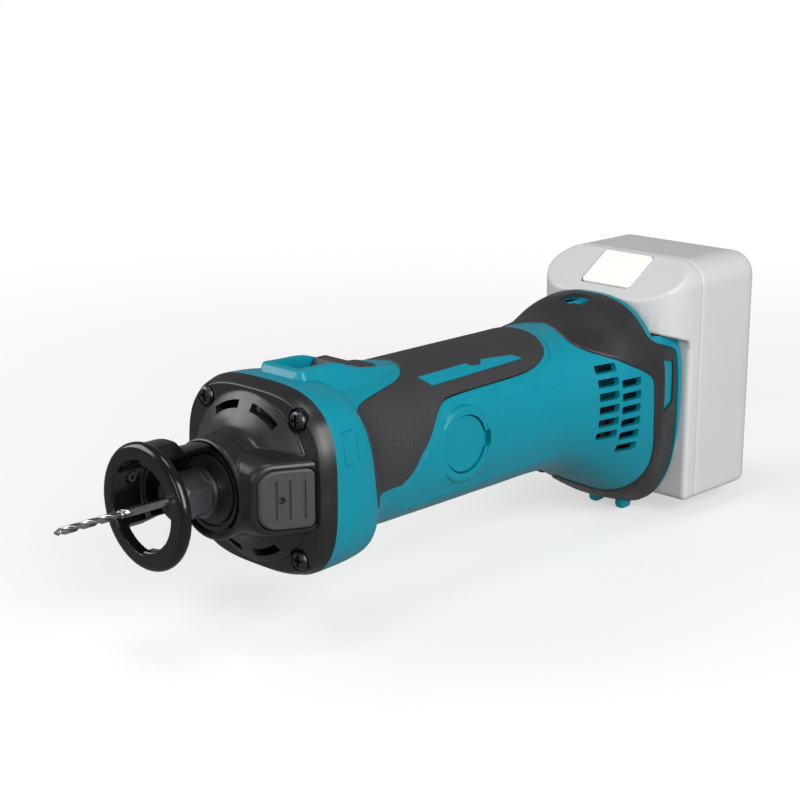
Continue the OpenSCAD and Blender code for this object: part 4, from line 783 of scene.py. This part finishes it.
def housing_half():
    """Left housing half: a thick sheet of the housing surface, joined to its guard, rear wall and
    pad, then opened for the rubber, brush cap, pack, switch, strap and vents, and last joined to its
    strap bar, pack rail, island, foot and ridges."""
    places = np.arange(joint_x, wing_x + SHELL_STEP / 2, SHELL_STEP)
    places[-1] = wing_x
    grid = (places[:, None], ANGLES[None])
    half = solid("housing_left_shell", sewn(skin(*grid), skin(*grid, -WALL)))
    work_on(half, "UNION", solid("guard", guard_half()),
            solid("rear", half_block(HEAD_X - REAR_WALL, wing_x, -0.5)), cap_pad())
    work_on(half, "DIFFERENCE",
            solid("grip_room", rubber(GRIP, rows=120, cols=60, ease=grip_rows, room=True)),
            solid("bumper_room", rubber(BUMPER, rows=120, cols=40, ease=even_rows, room=True)),
            *cap_recess(), *pack_room(), *switch_room(), vent_slots(), *fine_lines())
    rail = prism(rounded(RAIL_LOW, RAIL_HIGH, (0.4, 0.4)), -TONGUE_W - 1, -TONGUE_W + 2.3, "y")
    foot = plate(FOOT_LOW, FOOT_HIGH, (FOOT_ROUND, FOOT_ROUND), soft_edge(FOOT_ROOT, foot_z, SOLE_ROUND))
    return work_on(half, "UNION", strap_bar(), solid("rail", rail), island_block(),
                   solid("foot", loft(foot)), *barrel_ridges())


def shell_screw_hole(place, height):
    """Round well for a housing screw, in from the right."""
    return solid("screw_hole", turned(
        [[SHELL_SCREW_FLOOR, 0], [SHELL_SCREW_FLOOR, SHELL_SCREW_R], [ABOVE, SHELL_SCREW_R], [ABOVE, 0]],
        (place, 0, height), "y", 40))


left = housing_half()
right = other_side(left, "housing_right_shell")
work_on(right, "DIFFERENCE", *[shell_screw_hole(*screw) for screw in SHELL_SCREWS])
dress(left, "housing", teal_abs, ["housing_left"])
dress(right, "housing", teal_abs, ["housing_right"])

grip = solid("grip_left_rubber", rubber(GRIP, rows=170, cols=110, ease=grip_rows, edge_rows=(0,)))
work_on(grip, "DIFFERENCE", solid("island", island_prism(0)))
dress(grip, "housing", grip_rubber, ["grip_left"])
grip_right = other_side(grip, "grip_right_rubber")
work_on(grip_right, "DIFFERENCE", shell_screw_hole(*SHELL_SCREWS[0]))
dress(grip_right, "housing", grip_rubber, ["grip_right"])


def bumper_half():
    """Left bumper: a rubber sheet inside its outline, opened for the strap and the bare panel, with
    a seam line along its top."""
    piece = solid("bumper_left_rubber", rubber(BUMPER, rows=190, cols=60, ease=even_rows, crease=CREASE))
    corners = np.array([*PANEL, PANEL[0]], float)
    edge = np.linspace(0, len(PANEL), 40, endpoint=False)
    place, angle = (np.interp(edge, np.arange(len(corners)), column) for column in corners.T)
    slot = rounded(
        (STRAP_X - RUBBER_SLOT_HALF, -RUBBER_SLOT_W), (STRAP_X + RUBBER_SLOT_HALF, RUBBER_SLOT_W), (1, 1))
    seam = skin(np.linspace(205, HEAD_EDGE + 1, 60), 90.0, RUBBER_UP)
    return work_on(
        piece, "DIFFERENCE", solid("strap", prism(slot, STRAP_FLOOR, ABOVE, "z")),
        solid("panel", loft([skin(place, angle, out) for out in (-ROOM_REACH, ROOM_REACH)])),
        solid("seam", tube(seam, radius=0.4)))


bumper = bumper_half()
dress(bumper, "housing", bumper_rubber, ["bumper_left"])
dress(other_side(bumper, "bumper_right_rubber"), "housing", bumper_rubber, ["bumper_right"])

cap = solid("brush_cap_left_disc", turned(
    [[cap_y, 0], [cap_y, cap_r - 0.35], [cap_y + 0.1, cap_r - 0.2], [cap_y + 0.3, cap_r - 0.1],
     [cap_y + 2.3, cap_r - 0.1], [cap_y + 2.3, 0]], (cap_x, 0, cap_z), "y", 128))
dress(cap, "housing", teal_abs, ["brush_cap_left"])
dress(other_side(cap, "brush_cap_right_disc"), "housing", teal_abs, ["brush_cap_right"])


# Front housing: place of the rim, radius of the dome, and its slots' radii, first clock angle and arc
RIM_X = screws_low[0] + 0.4
DOME_R = 31.7
SLOT_IN, SLOT_OUT, SLOT_FROM, SLOT_ARC = 25.7, 28.6, 7, 29
# Dome from the collar to its proud edge: place, radius
DOME = [
    [collar_x + 0.9, 18.5], [36, 18.8], [RIM_X - 8.2, 19.4], [RIM_X - 6.7, 20.3], [RIM_X - 4.5, 22.9],
    [RIM_X - 3.5, 24.7], [RIM_X - 1.2, 29.3], [RIM_X - 0.3, 30.9], [RIM_X + 0.1, 31.4], [RIM_X + 0.5, DOME_R],
]
# Square rim round the dome, a flat plate with a crisp edge: place, distance in from the flange
RIM = [[RIM_X + 0.6, 2.9], [RIM_X + 0.75, 2.55], [RIM_X + 1.1, 2.25], [RIM_X + 3, 1.1], [joint_x, 0]]
# Room behind the dome: place, radius
HOLLOW_IN = 19.5
HOLLOW = [
    [RIM_X - 3.8, HOLLOW_IN], [RIM_X - 1.9, 22.5], [RIM_X - 0.8, 24.2], [RIM_X + 2.4, DOME_R - 1.9],
    [joint_x + 1, DOME_R - 1.5], [joint_x + 1, HOLLOW_IN],
]
# Bores along the spindle: name, start, end, radius
BORES = [
    ("seal_bore", collar_x - 1, 31.4, 12.6), ("bearing_bore", 31, 37.2, 12.05),
    ("shaft_bore", 36, joint_x + 1, 9.7), ("fan_bore", 49, joint_x + 1, 22),
]
# Round steps and grooves of the collar: start, end, inner and outer radius
COLLAR_CUTS = [
    (collar_x - 1, collar_x + 4.5, 15.2, 17.1), (collar_x - 1, collar_x + 0.9, 11, 15.6),
    (collar_x - 1, collar_x + 2.2, 11, 13.7), (35.8, 36.2, 18.55, 20),
]
# Boss of the guide's clamp screw on the right: foot of its axis, radius, end
CLAMP_AT, CLAMP_R, CLAMP_END = (35, 0, 0), 6.2, 25
# Lock button: fall of its face along the tool, places of its grooves and dimple as shares of its length
LOCK_SLOPE, LOCK_GROOVES, LOCK_DIMPLE = 0.53, (0.295, 0.536, 0.8), 0.39
lock_x0, lock_x1, lock_h = lock_low[0], lock_high[0], lock_high[2]
# Screws at the four corners: radii of washer, head, niche and shank
WASHER_R, PAN_R, NICHE_R, SHANK_R = 4.3, 3.7, 4.6, 2
screw_y, screw_z = screws_high[1] - WASHER_R, screws_high[2] - WASHER_R
SCREW_AT = [(0, side * screw_y, up * screw_z) for side in (-1, 1) for up in (-1, 1)]


def lock_face(x, depth):
    """Y of the lock button's slanted face at a place, moved in by a depth."""
    return lock_low[1] - LOCK_SLOPE * (x - lock_x1) + depth


def lock_plate(low, high, radii, levels):
    """Rounded plate that lies on the button's slanted face, its levels being depths."""
    rings = plate(low, high, radii, levels)
    return loft(np.stack([rings[..., 0], lock_face(rings[..., 0], rings[..., 2]), rings[..., 1]], -1))


def front_core():
    """Turned collar and dome, with the lock's and the clamp's bosses, softened together."""
    dome_x = np.linspace(DOME[0][0], DOME[-1][0], 60)
    dome = np.stack([dome_x, smooth_rows(DOME, dome_x)[:, 1]], -1).tolist()
    piece = solid("front_housing_shell", turned(
        [[collar_x, 0], [collar_x, 17.4], [collar_x + 0.3, 18.1], *dome, [RIM_X + 3, DOME_R], [RIM_X + 3, 0]],
        steps=160))
    boss = lock_plate(
        (lock_x0 - 1.8, -lock_h - 2.5), (lock_x1 + 3.6, lock_h + 2.5), (7, 4),
        [(26, -2.5), (8, -1.0), (3, -0.2), (1.9, 0.2), (1.2, 0.7), (0.8, 1.4)])
    clamp = turned(
        [[10, 0], [10, CLAMP_R], [CLAMP_END - 0.8, CLAMP_R], [CLAMP_END, CLAMP_R - 0.8], [CLAMP_END, 0]],
        CLAMP_AT, "y", 64)
    work_on(piece, "UNION", solid("boss", boss), solid("clamp", clamp))
    return soften(piece, voxel=0.42, passes=3)


def rim_plate():
    """Square rim: the flange's superellipse, drawn in by the rim's rows."""
    row = smooth_rows(RIM, np.concatenate([
        np.linspace(RIM_X + 0.6, RIM_X + 1.1, 6), np.linspace(RIM_X + 2, joint_x, 6)]))
    turn = np.linspace(0, 2 * pi, 240, endpoint=False)
    c, s = np.cos(turn), np.sin(turn)
    y = -(flange_w - row[:, 1:2]) * np.sign(c) * np.abs(c) ** (2 / FLANGE_SQUARE)
    z = (flange_h - row[:, 1:2]) * np.sign(s) * np.abs(s) ** (2 / FLANGE_SQUARE)
    return solid("rim", loft(np.stack([row[:, :1] + 0 * y, y, z], -1)))


def front_hollow():
    """Room behind the dome, which leaves the lock's and the clamp's bosses solid."""
    lock_boss = prism(rounded((30, -40), (53, -15), (0.2, 0.2)), -13.2, 13.2, "z")
    clamp_boss = turned([[10, 0], [10, CLAMP_R], [30, CLAMP_R], [30, 0]], CLAMP_AT, "y", 64)
    return work_on(solid("hollow", turned(HOLLOW, steps=128)), "DIFFERENCE",
                   solid("lock_boss", lock_boss), solid("clamp_boss", clamp_boss))


def front_shell():
    """Front housing: softened core and square rim, then hollowed and slotted with crisp edges."""
    piece = work_on(front_core(), "UNION", rim_plate())
    bores = [
        solid(name, turned([[low, 0], [low, radius], [high, radius], [high, 0]]))
        for name, low, high, radius in BORES]
    guide_slot = solid("guide_slot", sector(ring_section(collar_x - 1, 46, 14.9, 17.6), -14, 131))
    collar_cuts = [solid("collar_cut", turned(ring_section(*cut))) for cut in COLLAR_CUTS]
    slot_starts = (SLOT_FROM, 180 - SLOT_FROM - SLOT_ARC, 180 + SLOT_FROM, 360 - SLOT_FROM - SLOT_ARC)
    slot = ring_section(RIM_X - 8, RIM_X + 4, SLOT_IN, SLOT_OUT)
    slots = [solid("slot", sector(slot, start, start + SLOT_ARC, 24)) for start in slot_starts]
    pocket = solid("pocket", lock_plate(
        (lock_x0 - 0.4, -lock_h - 0.4), (lock_x1 + 0.4, lock_h + 0.4), (6.2, 2.7), [(-20, 0), (9, 0)]))
    clamp_seat = solid("clamp_seat", turned([[22, 0], [22, 5], [24, 5], [24, 0]], CLAMP_AT, "y", 48))
    niche = [[RIM_X - 6, 0], [RIM_X - 6, NICHE_R], [RIM_X + 2.5, NICHE_R], [RIM_X + 2.5, SHANK_R],
             [joint_x + 1, SHANK_R], [joint_x + 1, 0]]
    niches = [solid("niche", turned(niche, centre, "x", 40)) for centre in SCREW_AT]
    return work_on(piece, "DIFFERENCE", front_hollow(), *bores, guide_slot, *collar_cuts, *slots,
                   pocket, clamp_seat, *niches)


dress(front_shell(), "housing", black_nylon, ["front_housing"], sharp=40)


def lock_button():
    """Lock button: a plate with a rounded edge on its slanted face, three grooves and a dimple."""
    piece = solid("lock_button_plate", lock_plate(
        (lock_x0, -lock_h), (lock_x1, lock_h), (6, 2.5), soft_edge(5, 0, 0.9)))
    z = np.linspace(-7, 7, 8)
    grooves = []
    for x in lock_x0 + (lock_x1 - lock_x0) * np.array(LOCK_GROOVES):
        path = np.stack([x + 0 * z, lock_face(x, 0.1) + 0 * z, z], -1)
        grooves.append(solid("groove", tube(path, radius=0.55)))
    x = lock_x0 + LOCK_DIMPLE * (lock_x1 - lock_x0)
    dimple = turned([[-3, 0], [-3, 1.5], [1.3, 1.2], [1.3, 0]], (x, lock_face(x, 0), 0), "y", 24)
    return work_on(piece, "DIFFERENCE", *grooves, solid("dimple", dimple))


dress(lock_button(), "lock", dark_acetal, ["lock_button"])


def pan_screws():
    """Four cross-recessed pan heads on their washers, with plain shanks."""
    head_x, end_x = screws_low[0], screws_high[0]
    crown, crown_r, washer_t = 1.5, 2.2, 0.6
    slot_half, slot_reach, slot_depth = 0.55, 2.3, 1.3
    turn = np.linspace(pi / 2, 0, 8)
    dome = np.stack([head_x + crown * (1 - np.sin(turn)), crown_r + crown * np.cos(turn)], -1).tolist()
    washer_x = head_x + 2.3
    profile = [
        [head_x, 0], *dome, [washer_x, PAN_R], [washer_x, WASHER_R], [washer_x + washer_t, WASHER_R],
        [washer_x + washer_t, SHANK_R], [end_x, SHANK_R], [end_x, 0]]
    piece = solid("front_screws_pan", *[turned(profile, centre, "x", 48) for centre in SCREW_AT])
    for half in ((slot_half, slot_reach), (slot_reach, slot_half)):
        slots = [
            prism(rounded(np.subtract(centre[1:], half), np.add(centre[1:], half), (0.2, 0.2)),
                  head_x - 1, head_x + slot_depth, "x") for centre in SCREW_AT]
        work_on(piece, "DIFFERENCE", solid("cross", *slots))
    return piece


dress(pan_screws(), "housing", black_steel, ["front_screws"])


# Guide: radius of its rolled rim, bore
GUIDE_ROLL, GUIDE_BORE = 2.3, 15.2
# Arm of the guide, which slides in the collar: place, radius
GUIDE_ARM = [
    [3.6, 15.25], [3.6, 21.5], [13, 21.5], [17, 17.25], [guide_high[0], 17.25], [guide_high[0], 15.25],
]
INSERT_AT, INSERT_R = (8, 0, 6), 1.8
# Nut: half width across flats, radius at its chamfer, bores for the bit and the thread
NUT_FLAT, NUT_CHAMFER, NUT_BORE, THREAD_BORE = 8, 7.4, 4.1, 6.1
# Bit: shank radius, step down past the shank, lead and depth of the flutes, length of the point
BIT_R, BIT_STEP, FLUTE_LEAD, FLUTE_DEPTH, POINT_LENGTH = 1.59, 0.2, 15, 0.8, 2.2


def guide_ring():
    """Depth guide: a turned ring with a thick rolled rim, an arm and a sleeve over an arc, and a
    step in its bore, softened."""
    turn = np.linspace(-pi / 2, pi / 2, 12)
    rim = np.stack([
        GUIDE_ROLL + GUIDE_ROLL * np.sin(turn), guide_high[2] - GUIDE_ROLL + GUIDE_ROLL * np.cos(turn)], -1)
    piece = solid("depth_guide_ring", turned(
        [[0.25, 15.5], [0, 15.8], *rim.tolist(), [2 * GUIDE_ROLL, GUIDE_BORE], [0.6, GUIDE_BORE]], steps=160))
    work_on(piece, "UNION", solid("arm", sector(GUIDE_ARM, -10, 127, 90)))
    work_on(piece, "DIFFERENCE",
            solid("bore_step", sector(ring_section(-1, 13, 13, 16.8), 0, 180, 90)),
            solid("insert_seat", turned(
                [[15, 0], [15, INSERT_R], [19, INSERT_R], [19, 0]], INSERT_AT, "y", 32)))
    return soften(piece, voxel=0.36, passes=4)


dress(guide_ring(), "guide", gloss_nylon, ["depth_guide"], sharp=80)


def hex_nut():
    """Collet nut: radius is the smaller of a hexagon's and a chamfer cone's, then a round skirt."""
    turn = np.linspace(0, 2 * pi, 240, endpoint=False)
    x0, x1 = nut_low[0], nut_high[0]
    hex_end = x1 - 1.6
    flat = NUT_FLAT / np.cos((turn + pi / 6) % (pi / 3) - pi / 6)
    x = np.concatenate([np.linspace(x0, x0 + 3, 16), np.linspace(x0 + 4, hex_end, 8)])[:, None]
    body = np.minimum(flat[None], NUT_CHAMFER + 1.1 * (x - x0))
    skirt_x, skirt = np.array([
        [hex_end + 0.02, 8.6], [hex_end + 0.4, 9.5], [x1 - 0.3, 9.5], [x1, 9.2], [x1, THREAD_BORE],
    ]).T[..., None]
    bore_x, bore = np.array([[x0 + 3, THREAD_BORE], [x0 + 3, NUT_BORE], [x0, NUT_BORE]]).T[..., None]
    x = np.concatenate([x, skirt_x, bore_x]) + 0 * turn
    r = np.concatenate([body, skirt + 0 * turn, bore + 0 * turn])
    points = np.stack([x, r * np.cos(turn), r * np.sin(turn)], -1)
    return points.reshape(-1, 3), [quads(len(x), len(turn), True, True)]


# The nut's steel is painted lighter, standing in for light it misses in the guide's shade
dress(solid("collet_nut_hex", hex_nut()), "nut", nut_steel_painted_light, ["collet_nut"])


def twist_bit():
    """Cutting bit: radius falls in two grooves that wind along the fluted end, which runs out into
    the plain shank, with a short cone at the tip."""
    x = np.concatenate([np.linspace(bit_low[0], -4, 300), np.linspace(-3, bit_high[0], 24)])[:, None]
    turn = np.linspace(0, 2 * pi, 64, endpoint=False)[None]
    wind = turn - (x - bit_low[0]) * 2 * pi / FLUTE_LEAD
    run_out = np.clip((-6 - x) / 4, 0, 1)
    groove = np.clip(np.cos(wind * 2) * 1.5 - 0.15, 0, 1) * FLUTE_DEPTH * run_out
    full = BIT_R - BIT_STEP * np.clip((-8.5 - x) / 0.8, 0, 1) - BIT_STEP * (x > 12.4)
    point = np.clip((x - bit_low[0]) / POINT_LENGTH, 0, 1)
    r = (full - groove) * point
    r[-1] = 0
    points = np.stack([x + 0 * turn, r * np.cos(turn), r * np.sin(turn)], -1)
    return points.reshape(-1, 3), [quads(len(x), turn.size, False, True)]


dress(solid("cutting_bit_twist", twist_bit()), "bit", ground_steel, ["cutting_bit"], sharp=50)


# Switch knob: height of its foot, distances of its grooves from the rear, round of its edges
KNOB_FOOT, KNOB_RIBS, KNOB_EDGE = 31.75, (1.4, 2.8, 4.2), 0.7


def knob_slide():
    """Slide knob: its side outline carried across the tool and drawn in about its middle at the
    rounded ends, on a square stem, with three grooves across its rear."""
    x0, x1, top = knob_low[0], knob_high[0], knob_high[2]
    side = np.array([
        [x0, KNOB_FOOT], [x0 + 1.2, KNOB_FOOT + 1.9], [x0 + 3.0, top - 0.3], [x0 + 3.6, top], [x1 - 0.5, top],
        [x1, top - 0.5], [x1, KNOB_FOOT]])
    half = soft_edge(0, knob_high[1], KNOB_EDGE)
    y, inset = np.array([(-height, inset) for height, inset in half[::-1]] + half[1:]).T[..., None]
    middle = side.mean(0)
    x, z = (side - middle).T[:, None]
    rings = np.stack([
        middle[0] + x * (1 - inset / 4), y + 0 * x, middle[1] + z * (1 - inset / 2.4)], -1)
    stem = prism(rounded((x0 + 1, -2.8), (x0 + 7, 2.8), (0.3, 0.3)), knob_low[2], 33, "z")
    piece = work_on(solid("switch_knob_slide", loft(rings)), "UNION", solid("stem", stem))
    across = np.linspace(-5, 5, 6)[:, None]
    ribs = [
        solid("rib", tube(across * [0, 1, 0] + [x1 - back, 0, top - 0.15], 0.45, (0, 0, 1)))
        for back in KNOB_RIBS]
    return work_on(piece, "DIFFERENCE", *ribs)


dress(knob_slide(), "switch", dark_acetal, ["switch_knob"])
pad = solid("thumb_pad_plate", loft(plate(
    thumb_low[:2], thumb_high[:2], (1.3, 2.3), soft_edge(thumb_low[2], thumb_high[2], 0.4))))
dress(pad, "housing", grip_rubber, ["thumb_pad"])


# Pack: seam between cover and case, ends and half width, sloping front, rounded edges
SEAM_X = case_low[0]
PACK_X1, PACK_TOP, PACK_BOT, PACK_W = case_high[0] - 0.05, case_high[2] - 0.05, case_low[2], case_high[1]
SLOPE_X0, SLOPE_Z0, SLOPE_X1 = cover_low[0], 37.5, SEAM_X - 1.5
SLOPE = (PACK_TOP - SLOPE_Z0) / (SLOPE_X1 - SLOPE_X0)
TOP_ROUND, FRONT_ROUND, REAR_ROUND, LOW_ROUND = 11, 18, 9, 2.5
# Gaps to the housing, and slots and wells: places across the pack, half widths or radius, heights
WING_GAP, TONGUE_GAP, TONGUE_TOP, RAIL_GAP = 0.4, 0.7, 21, 0.4
BLADE_Y, BLADE_HALF, BLADE_TOP = (-13, -5, 5, 13), 1.6, -16.5
RAIL_Y, RAIL_HALF = 31, 2.8
PACK_SCREW_Y, PACK_SCREW_UP, PACK_SCREW_R = 26, 2.6, 2.4
# Release button on the slope: distance up it, length, half width, height above it
RELEASE_AT, RELEASE_LEN, RELEASE_W, RELEASE_UP = 6.3, 20.8, 12.9, 0.6


def pack_form(name):
    """Whole pack: upper block with large front corners, lower block and tongue, under a sloping top."""
    upper = plate((SLOPE_X0, -PACK_W), (PACK_X1, PACK_W), (FRONT_ROUND, REAR_ROUND),
                  [(17, 0), *soft_edge(30, PACK_TOP, TOP_ROUND, 12)])
    front, past_tip = SLOPE_X0 - 5, wing_x + 0.5
    wing_room = prism(
        [[front, 10], [front, 27], [HEAD_X, WING_TOP + WING_GAP], [past_tip, WING_TIP + WING_GAP],
         [past_tip, 10]], -FAR, FAR, "y")
    piece = work_on(solid(name, loft(upper)), "DIFFERENCE", solid("wing_room", wing_room))
    lower = plate((wing_x + 0.8, -PACK_W), (PACK_X1, PACK_W), (2, REAR_ROUND),
                  soft_edge(30, PACK_BOT, LOW_ROUND)[::-1])
    tongue = prism(np.clip(tongue_outline(-TONGUE_GAP), -99, TONGUE_TOP), SLOPE_X0, wing_x + 4, "x")
    work_on(piece, "UNION", solid("lower", loft(lower)), solid("tongue", tongue))
    roof = [[front, SLOPE_Z0 - 5 * SLOPE], [SLOPE_X1, PACK_TOP], [PACK_X1 + 5, PACK_TOP + 0.5],
            [PACK_X1 + 5, PACK_TOP + 30], [front, PACK_TOP + 30]]
    return work_on(piece, "DIFFERENCE", solid("roof", prism(roof, -FAR, FAR, "y")))


def half_space(low, high):
    """Large box between two places along the tool."""
    corners = np.array([[-FAR, -FAR], [FAR, -FAR], [FAR, FAR], [-FAR, FAR]])
    return solid("space", prism(corners, low, high, "x"))


def on_slope(rings):
    """Points of along, across and height put onto the pack's sloping front."""
    c, s = np.cos(np.arctan(SLOPE)), np.sin(np.arctan(SLOPE))
    along, across, height = np.moveaxis(rings, -1, 0)
    return np.stack([SLOPE_X0 + along * c - height * s, across, SLOPE_Z0 + along * s + height * c], -1)


def pack_cover():
    """Front part of the pack, slotted for the blades and rails, softened, then cut for the release."""
    piece = work_on(pack_form("pack_cover_shell"), "INTERSECT", half_space(200, SEAM_X))
    blades = [
        prism(rounded((200, y - BLADE_HALF), (HEAD_X + 11, y + BLADE_HALF), (0.2, 0.4)), -FAR, BLADE_TOP, "z")
        for y in BLADE_Y]
    rail_x0, rail_x1, rail_top = RAIL_LOW[0] - RAIL_GAP, RAIL_HIGH[0] + RAIL_GAP, RAIL_HIGH[1] + 1
    rails = [
        prism(rounded((rail_x0, y - RAIL_HALF), (rail_x1, y + RAIL_HALF), (0.2, 0.2)), -FAR, rail_top, "z")
        for y in (-RAIL_Y, RAIL_Y)]
    work_on(piece, "DIFFERENCE", solid("blades", *blades), solid("rails", *rails))
    pocket = plate(
        (RELEASE_AT - 0.8, -RELEASE_W - 0.4), (RELEASE_AT + RELEASE_LEN + 0.3, RELEASE_W + 0.4), (2.4, 2.4),
        [(-5.8, 0), (10, 0)])
    return work_on(soften(piece, voxel=0.6, passes=6), "DIFFERENCE", solid("pocket", loft(on_slope(pocket))))


def pack_case():
    """Rear part of the pack, with a well for each of its two screws, softened."""
    piece = work_on(pack_form("pack_case_shell"), "INTERSECT", half_space(SEAM_X + 0.05, PACK_X1 + 20))
    floor, past = PACK_X1 - 2.6, PACK_X1 + 3
    wells = [
        turned([[floor, 0], [floor, PACK_SCREW_R], [past, PACK_SCREW_R], [past, 0]],
               (0, y, PACK_BOT + PACK_SCREW_UP), "x", 32) for y in (-PACK_SCREW_Y, PACK_SCREW_Y)]
    return soften(work_on(piece, "DIFFERENCE", solid("screw_wells", *wells)), voxel=0.75, passes=6)


dress(pack_cover(), "pack", pack_grey, ["pack_cover"], sharp=50)
dress(pack_case(), "pack", pack_grey, ["pack_case"], sharp=80)
patch = solid("pack_release_patch", loft(on_slope(plate(
    (RELEASE_AT, -RELEASE_W), (RELEASE_AT + RELEASE_LEN, RELEASE_W), (2.2, 2.2),
    soft_edge(-2.4, RELEASE_UP, 0.7)))))
dress(patch, "release", release_white, ["pack_button"])


# Floor, light and camera, in metres
AIM, DOME_AIM = (0.14, 0, 0), (0.05, 0, 0)
FLOOR_REACH = 8
FADE_FROM, FADE_TO = 0.15, 0.75
CAMERA_AT = (-0.3514, -0.4675, 0.1958)
AZIMUTH, ELEVATION = radians(-45.54), radians(15.26)
LENS, SENSOR = 81, 36


def paper_sweep():
    """White paper under the tool: a faint fibre, and an edge that fades into the white surround."""
    paper, tree, shader, place = blank("white_paper_sweep")
    fibre = put(tree, "ShaderNodeTexNoise", {"Vector": place, "Scale": per_metre(3)})
    tint = put(tree, "ShaderNodeMix", {
        "Factor": fibre.outputs["Fac"], "A": linear("#f6f6f6"), "B": linear("#fafafa")}, data_type="RGBA")
    # Only the camera sees the sweep in full, so that it throws little light back under the tool
    looked_at = put(tree, "ShaderNodeLightPath").outputs["Is Camera Ray"]
    share = put(tree, "ShaderNodeMapRange", {"Value": looked_at, "To Min": 0.12, "To Max": 0.5})
    middle = (AIM[0], AIM[1], foot_z * MM)
    from_tool = put(tree, "ShaderNodeVectorMath", {0: place, 1: middle}, operation="DISTANCE")
    fade = put(tree, "ShaderNodeMapRange", {
        "Value": from_tool.outputs["Value"], "From Min": FADE_FROM, "From Max": FADE_TO,
        "To Min": share.outputs["Result"], "To Max": 0.0}, interpolation_type="SMOOTHSTEP")
    tree.links.new(tint.outputs["Result"], shader.inputs["Base Color"])
    tree.links.new(fade.outputs["Result"], shader.inputs["Alpha"])
    shader.inputs["Roughness"].default_value = 0.9
    return paper


floor_mesh = bpy.data.meshes.new("floor")
floor_corners = FLOOR_REACH * np.array([[-1, -1, 0], [1, -1, 0], [1, 1, 0], [-1, 1, 0]]) + [0, 0, foot_z * MM]
floor_mesh.from_pydata(floor_corners.tolist(), [], [(0, 1, 2, 3)])
floor_mesh.materials.append(paper_sweep())
floor = bpy.data.objects.new("floor", floor_mesh)
bpy.context.scene.collection.objects.link(floor)

# White studio: the camera sees plain white, while the tool is lit by a dimmer surround
world = bpy.data.worlds.new("studio")
bpy.context.scene.world = world
world.use_nodes = True
sky = world.node_tree
seen = put(sky, "ShaderNodeLightPath").outputs["Is Camera Ray"]
surround = put(sky, "ShaderNodeMapRange", {"Value": seen, "To Min": 0.2, "To Max": 1.0})
sky.links.new(surround.outputs["Result"], sky.nodes["Background"].inputs["Strength"])
sky.nodes["Background"].inputs["Color"].default_value = linear("#ffffff")
bpy.context.scene.view_settings.view_transform = "Standard"


def softbox(name, place, target, size, power):
    """Square soft light that faces a target."""
    lamp = bpy.data.lights.new(name, "AREA")
    lamp.energy, lamp.size = power, size
    light = bpy.data.objects.new(name, lamp)
    light.location = place
    light.rotation_euler = (Vector(target) - Vector(place)).to_track_quat("-Z", "Y").to_euler()
    bpy.context.scene.collection.objects.link(light)


softbox("key", (-0.1, -1.1, 0.5), AIM, size=0.9, power=18)
softbox("top", (-0.1, -0.1, 1.2), AIM, size=0.4, power=2.5)
softbox("fill", (-1.0, -0.2, 0.3), AIM, size=0.5, power=1.5)
softbox("dome_light", (-0.55, 0.85, 0.5), DOME_AIM, size=0.8, power=9)

back_way = np.array([
    np.sin(AZIMUTH) * np.cos(ELEVATION), -np.cos(AZIMUTH) * np.cos(ELEVATION), np.sin(ELEVATION)])
right_way = np.array([np.cos(AZIMUTH), np.sin(AZIMUTH), 0])
up_way = np.cross(back_way, right_way)
lens = bpy.data.cameras.new("camera")
lens.lens, lens.sensor_width = LENS, SENSOR
camera = bpy.data.objects.new("camera", lens)
camera.matrix_world = Matrix([*np.stack([right_way, up_way, back_way, CAMERA_AT], -1).tolist(), [0, 0, 0, 1]])
bpy.context.scene.collection.objects.link(camera)
bpy.context.scene.camera = camera
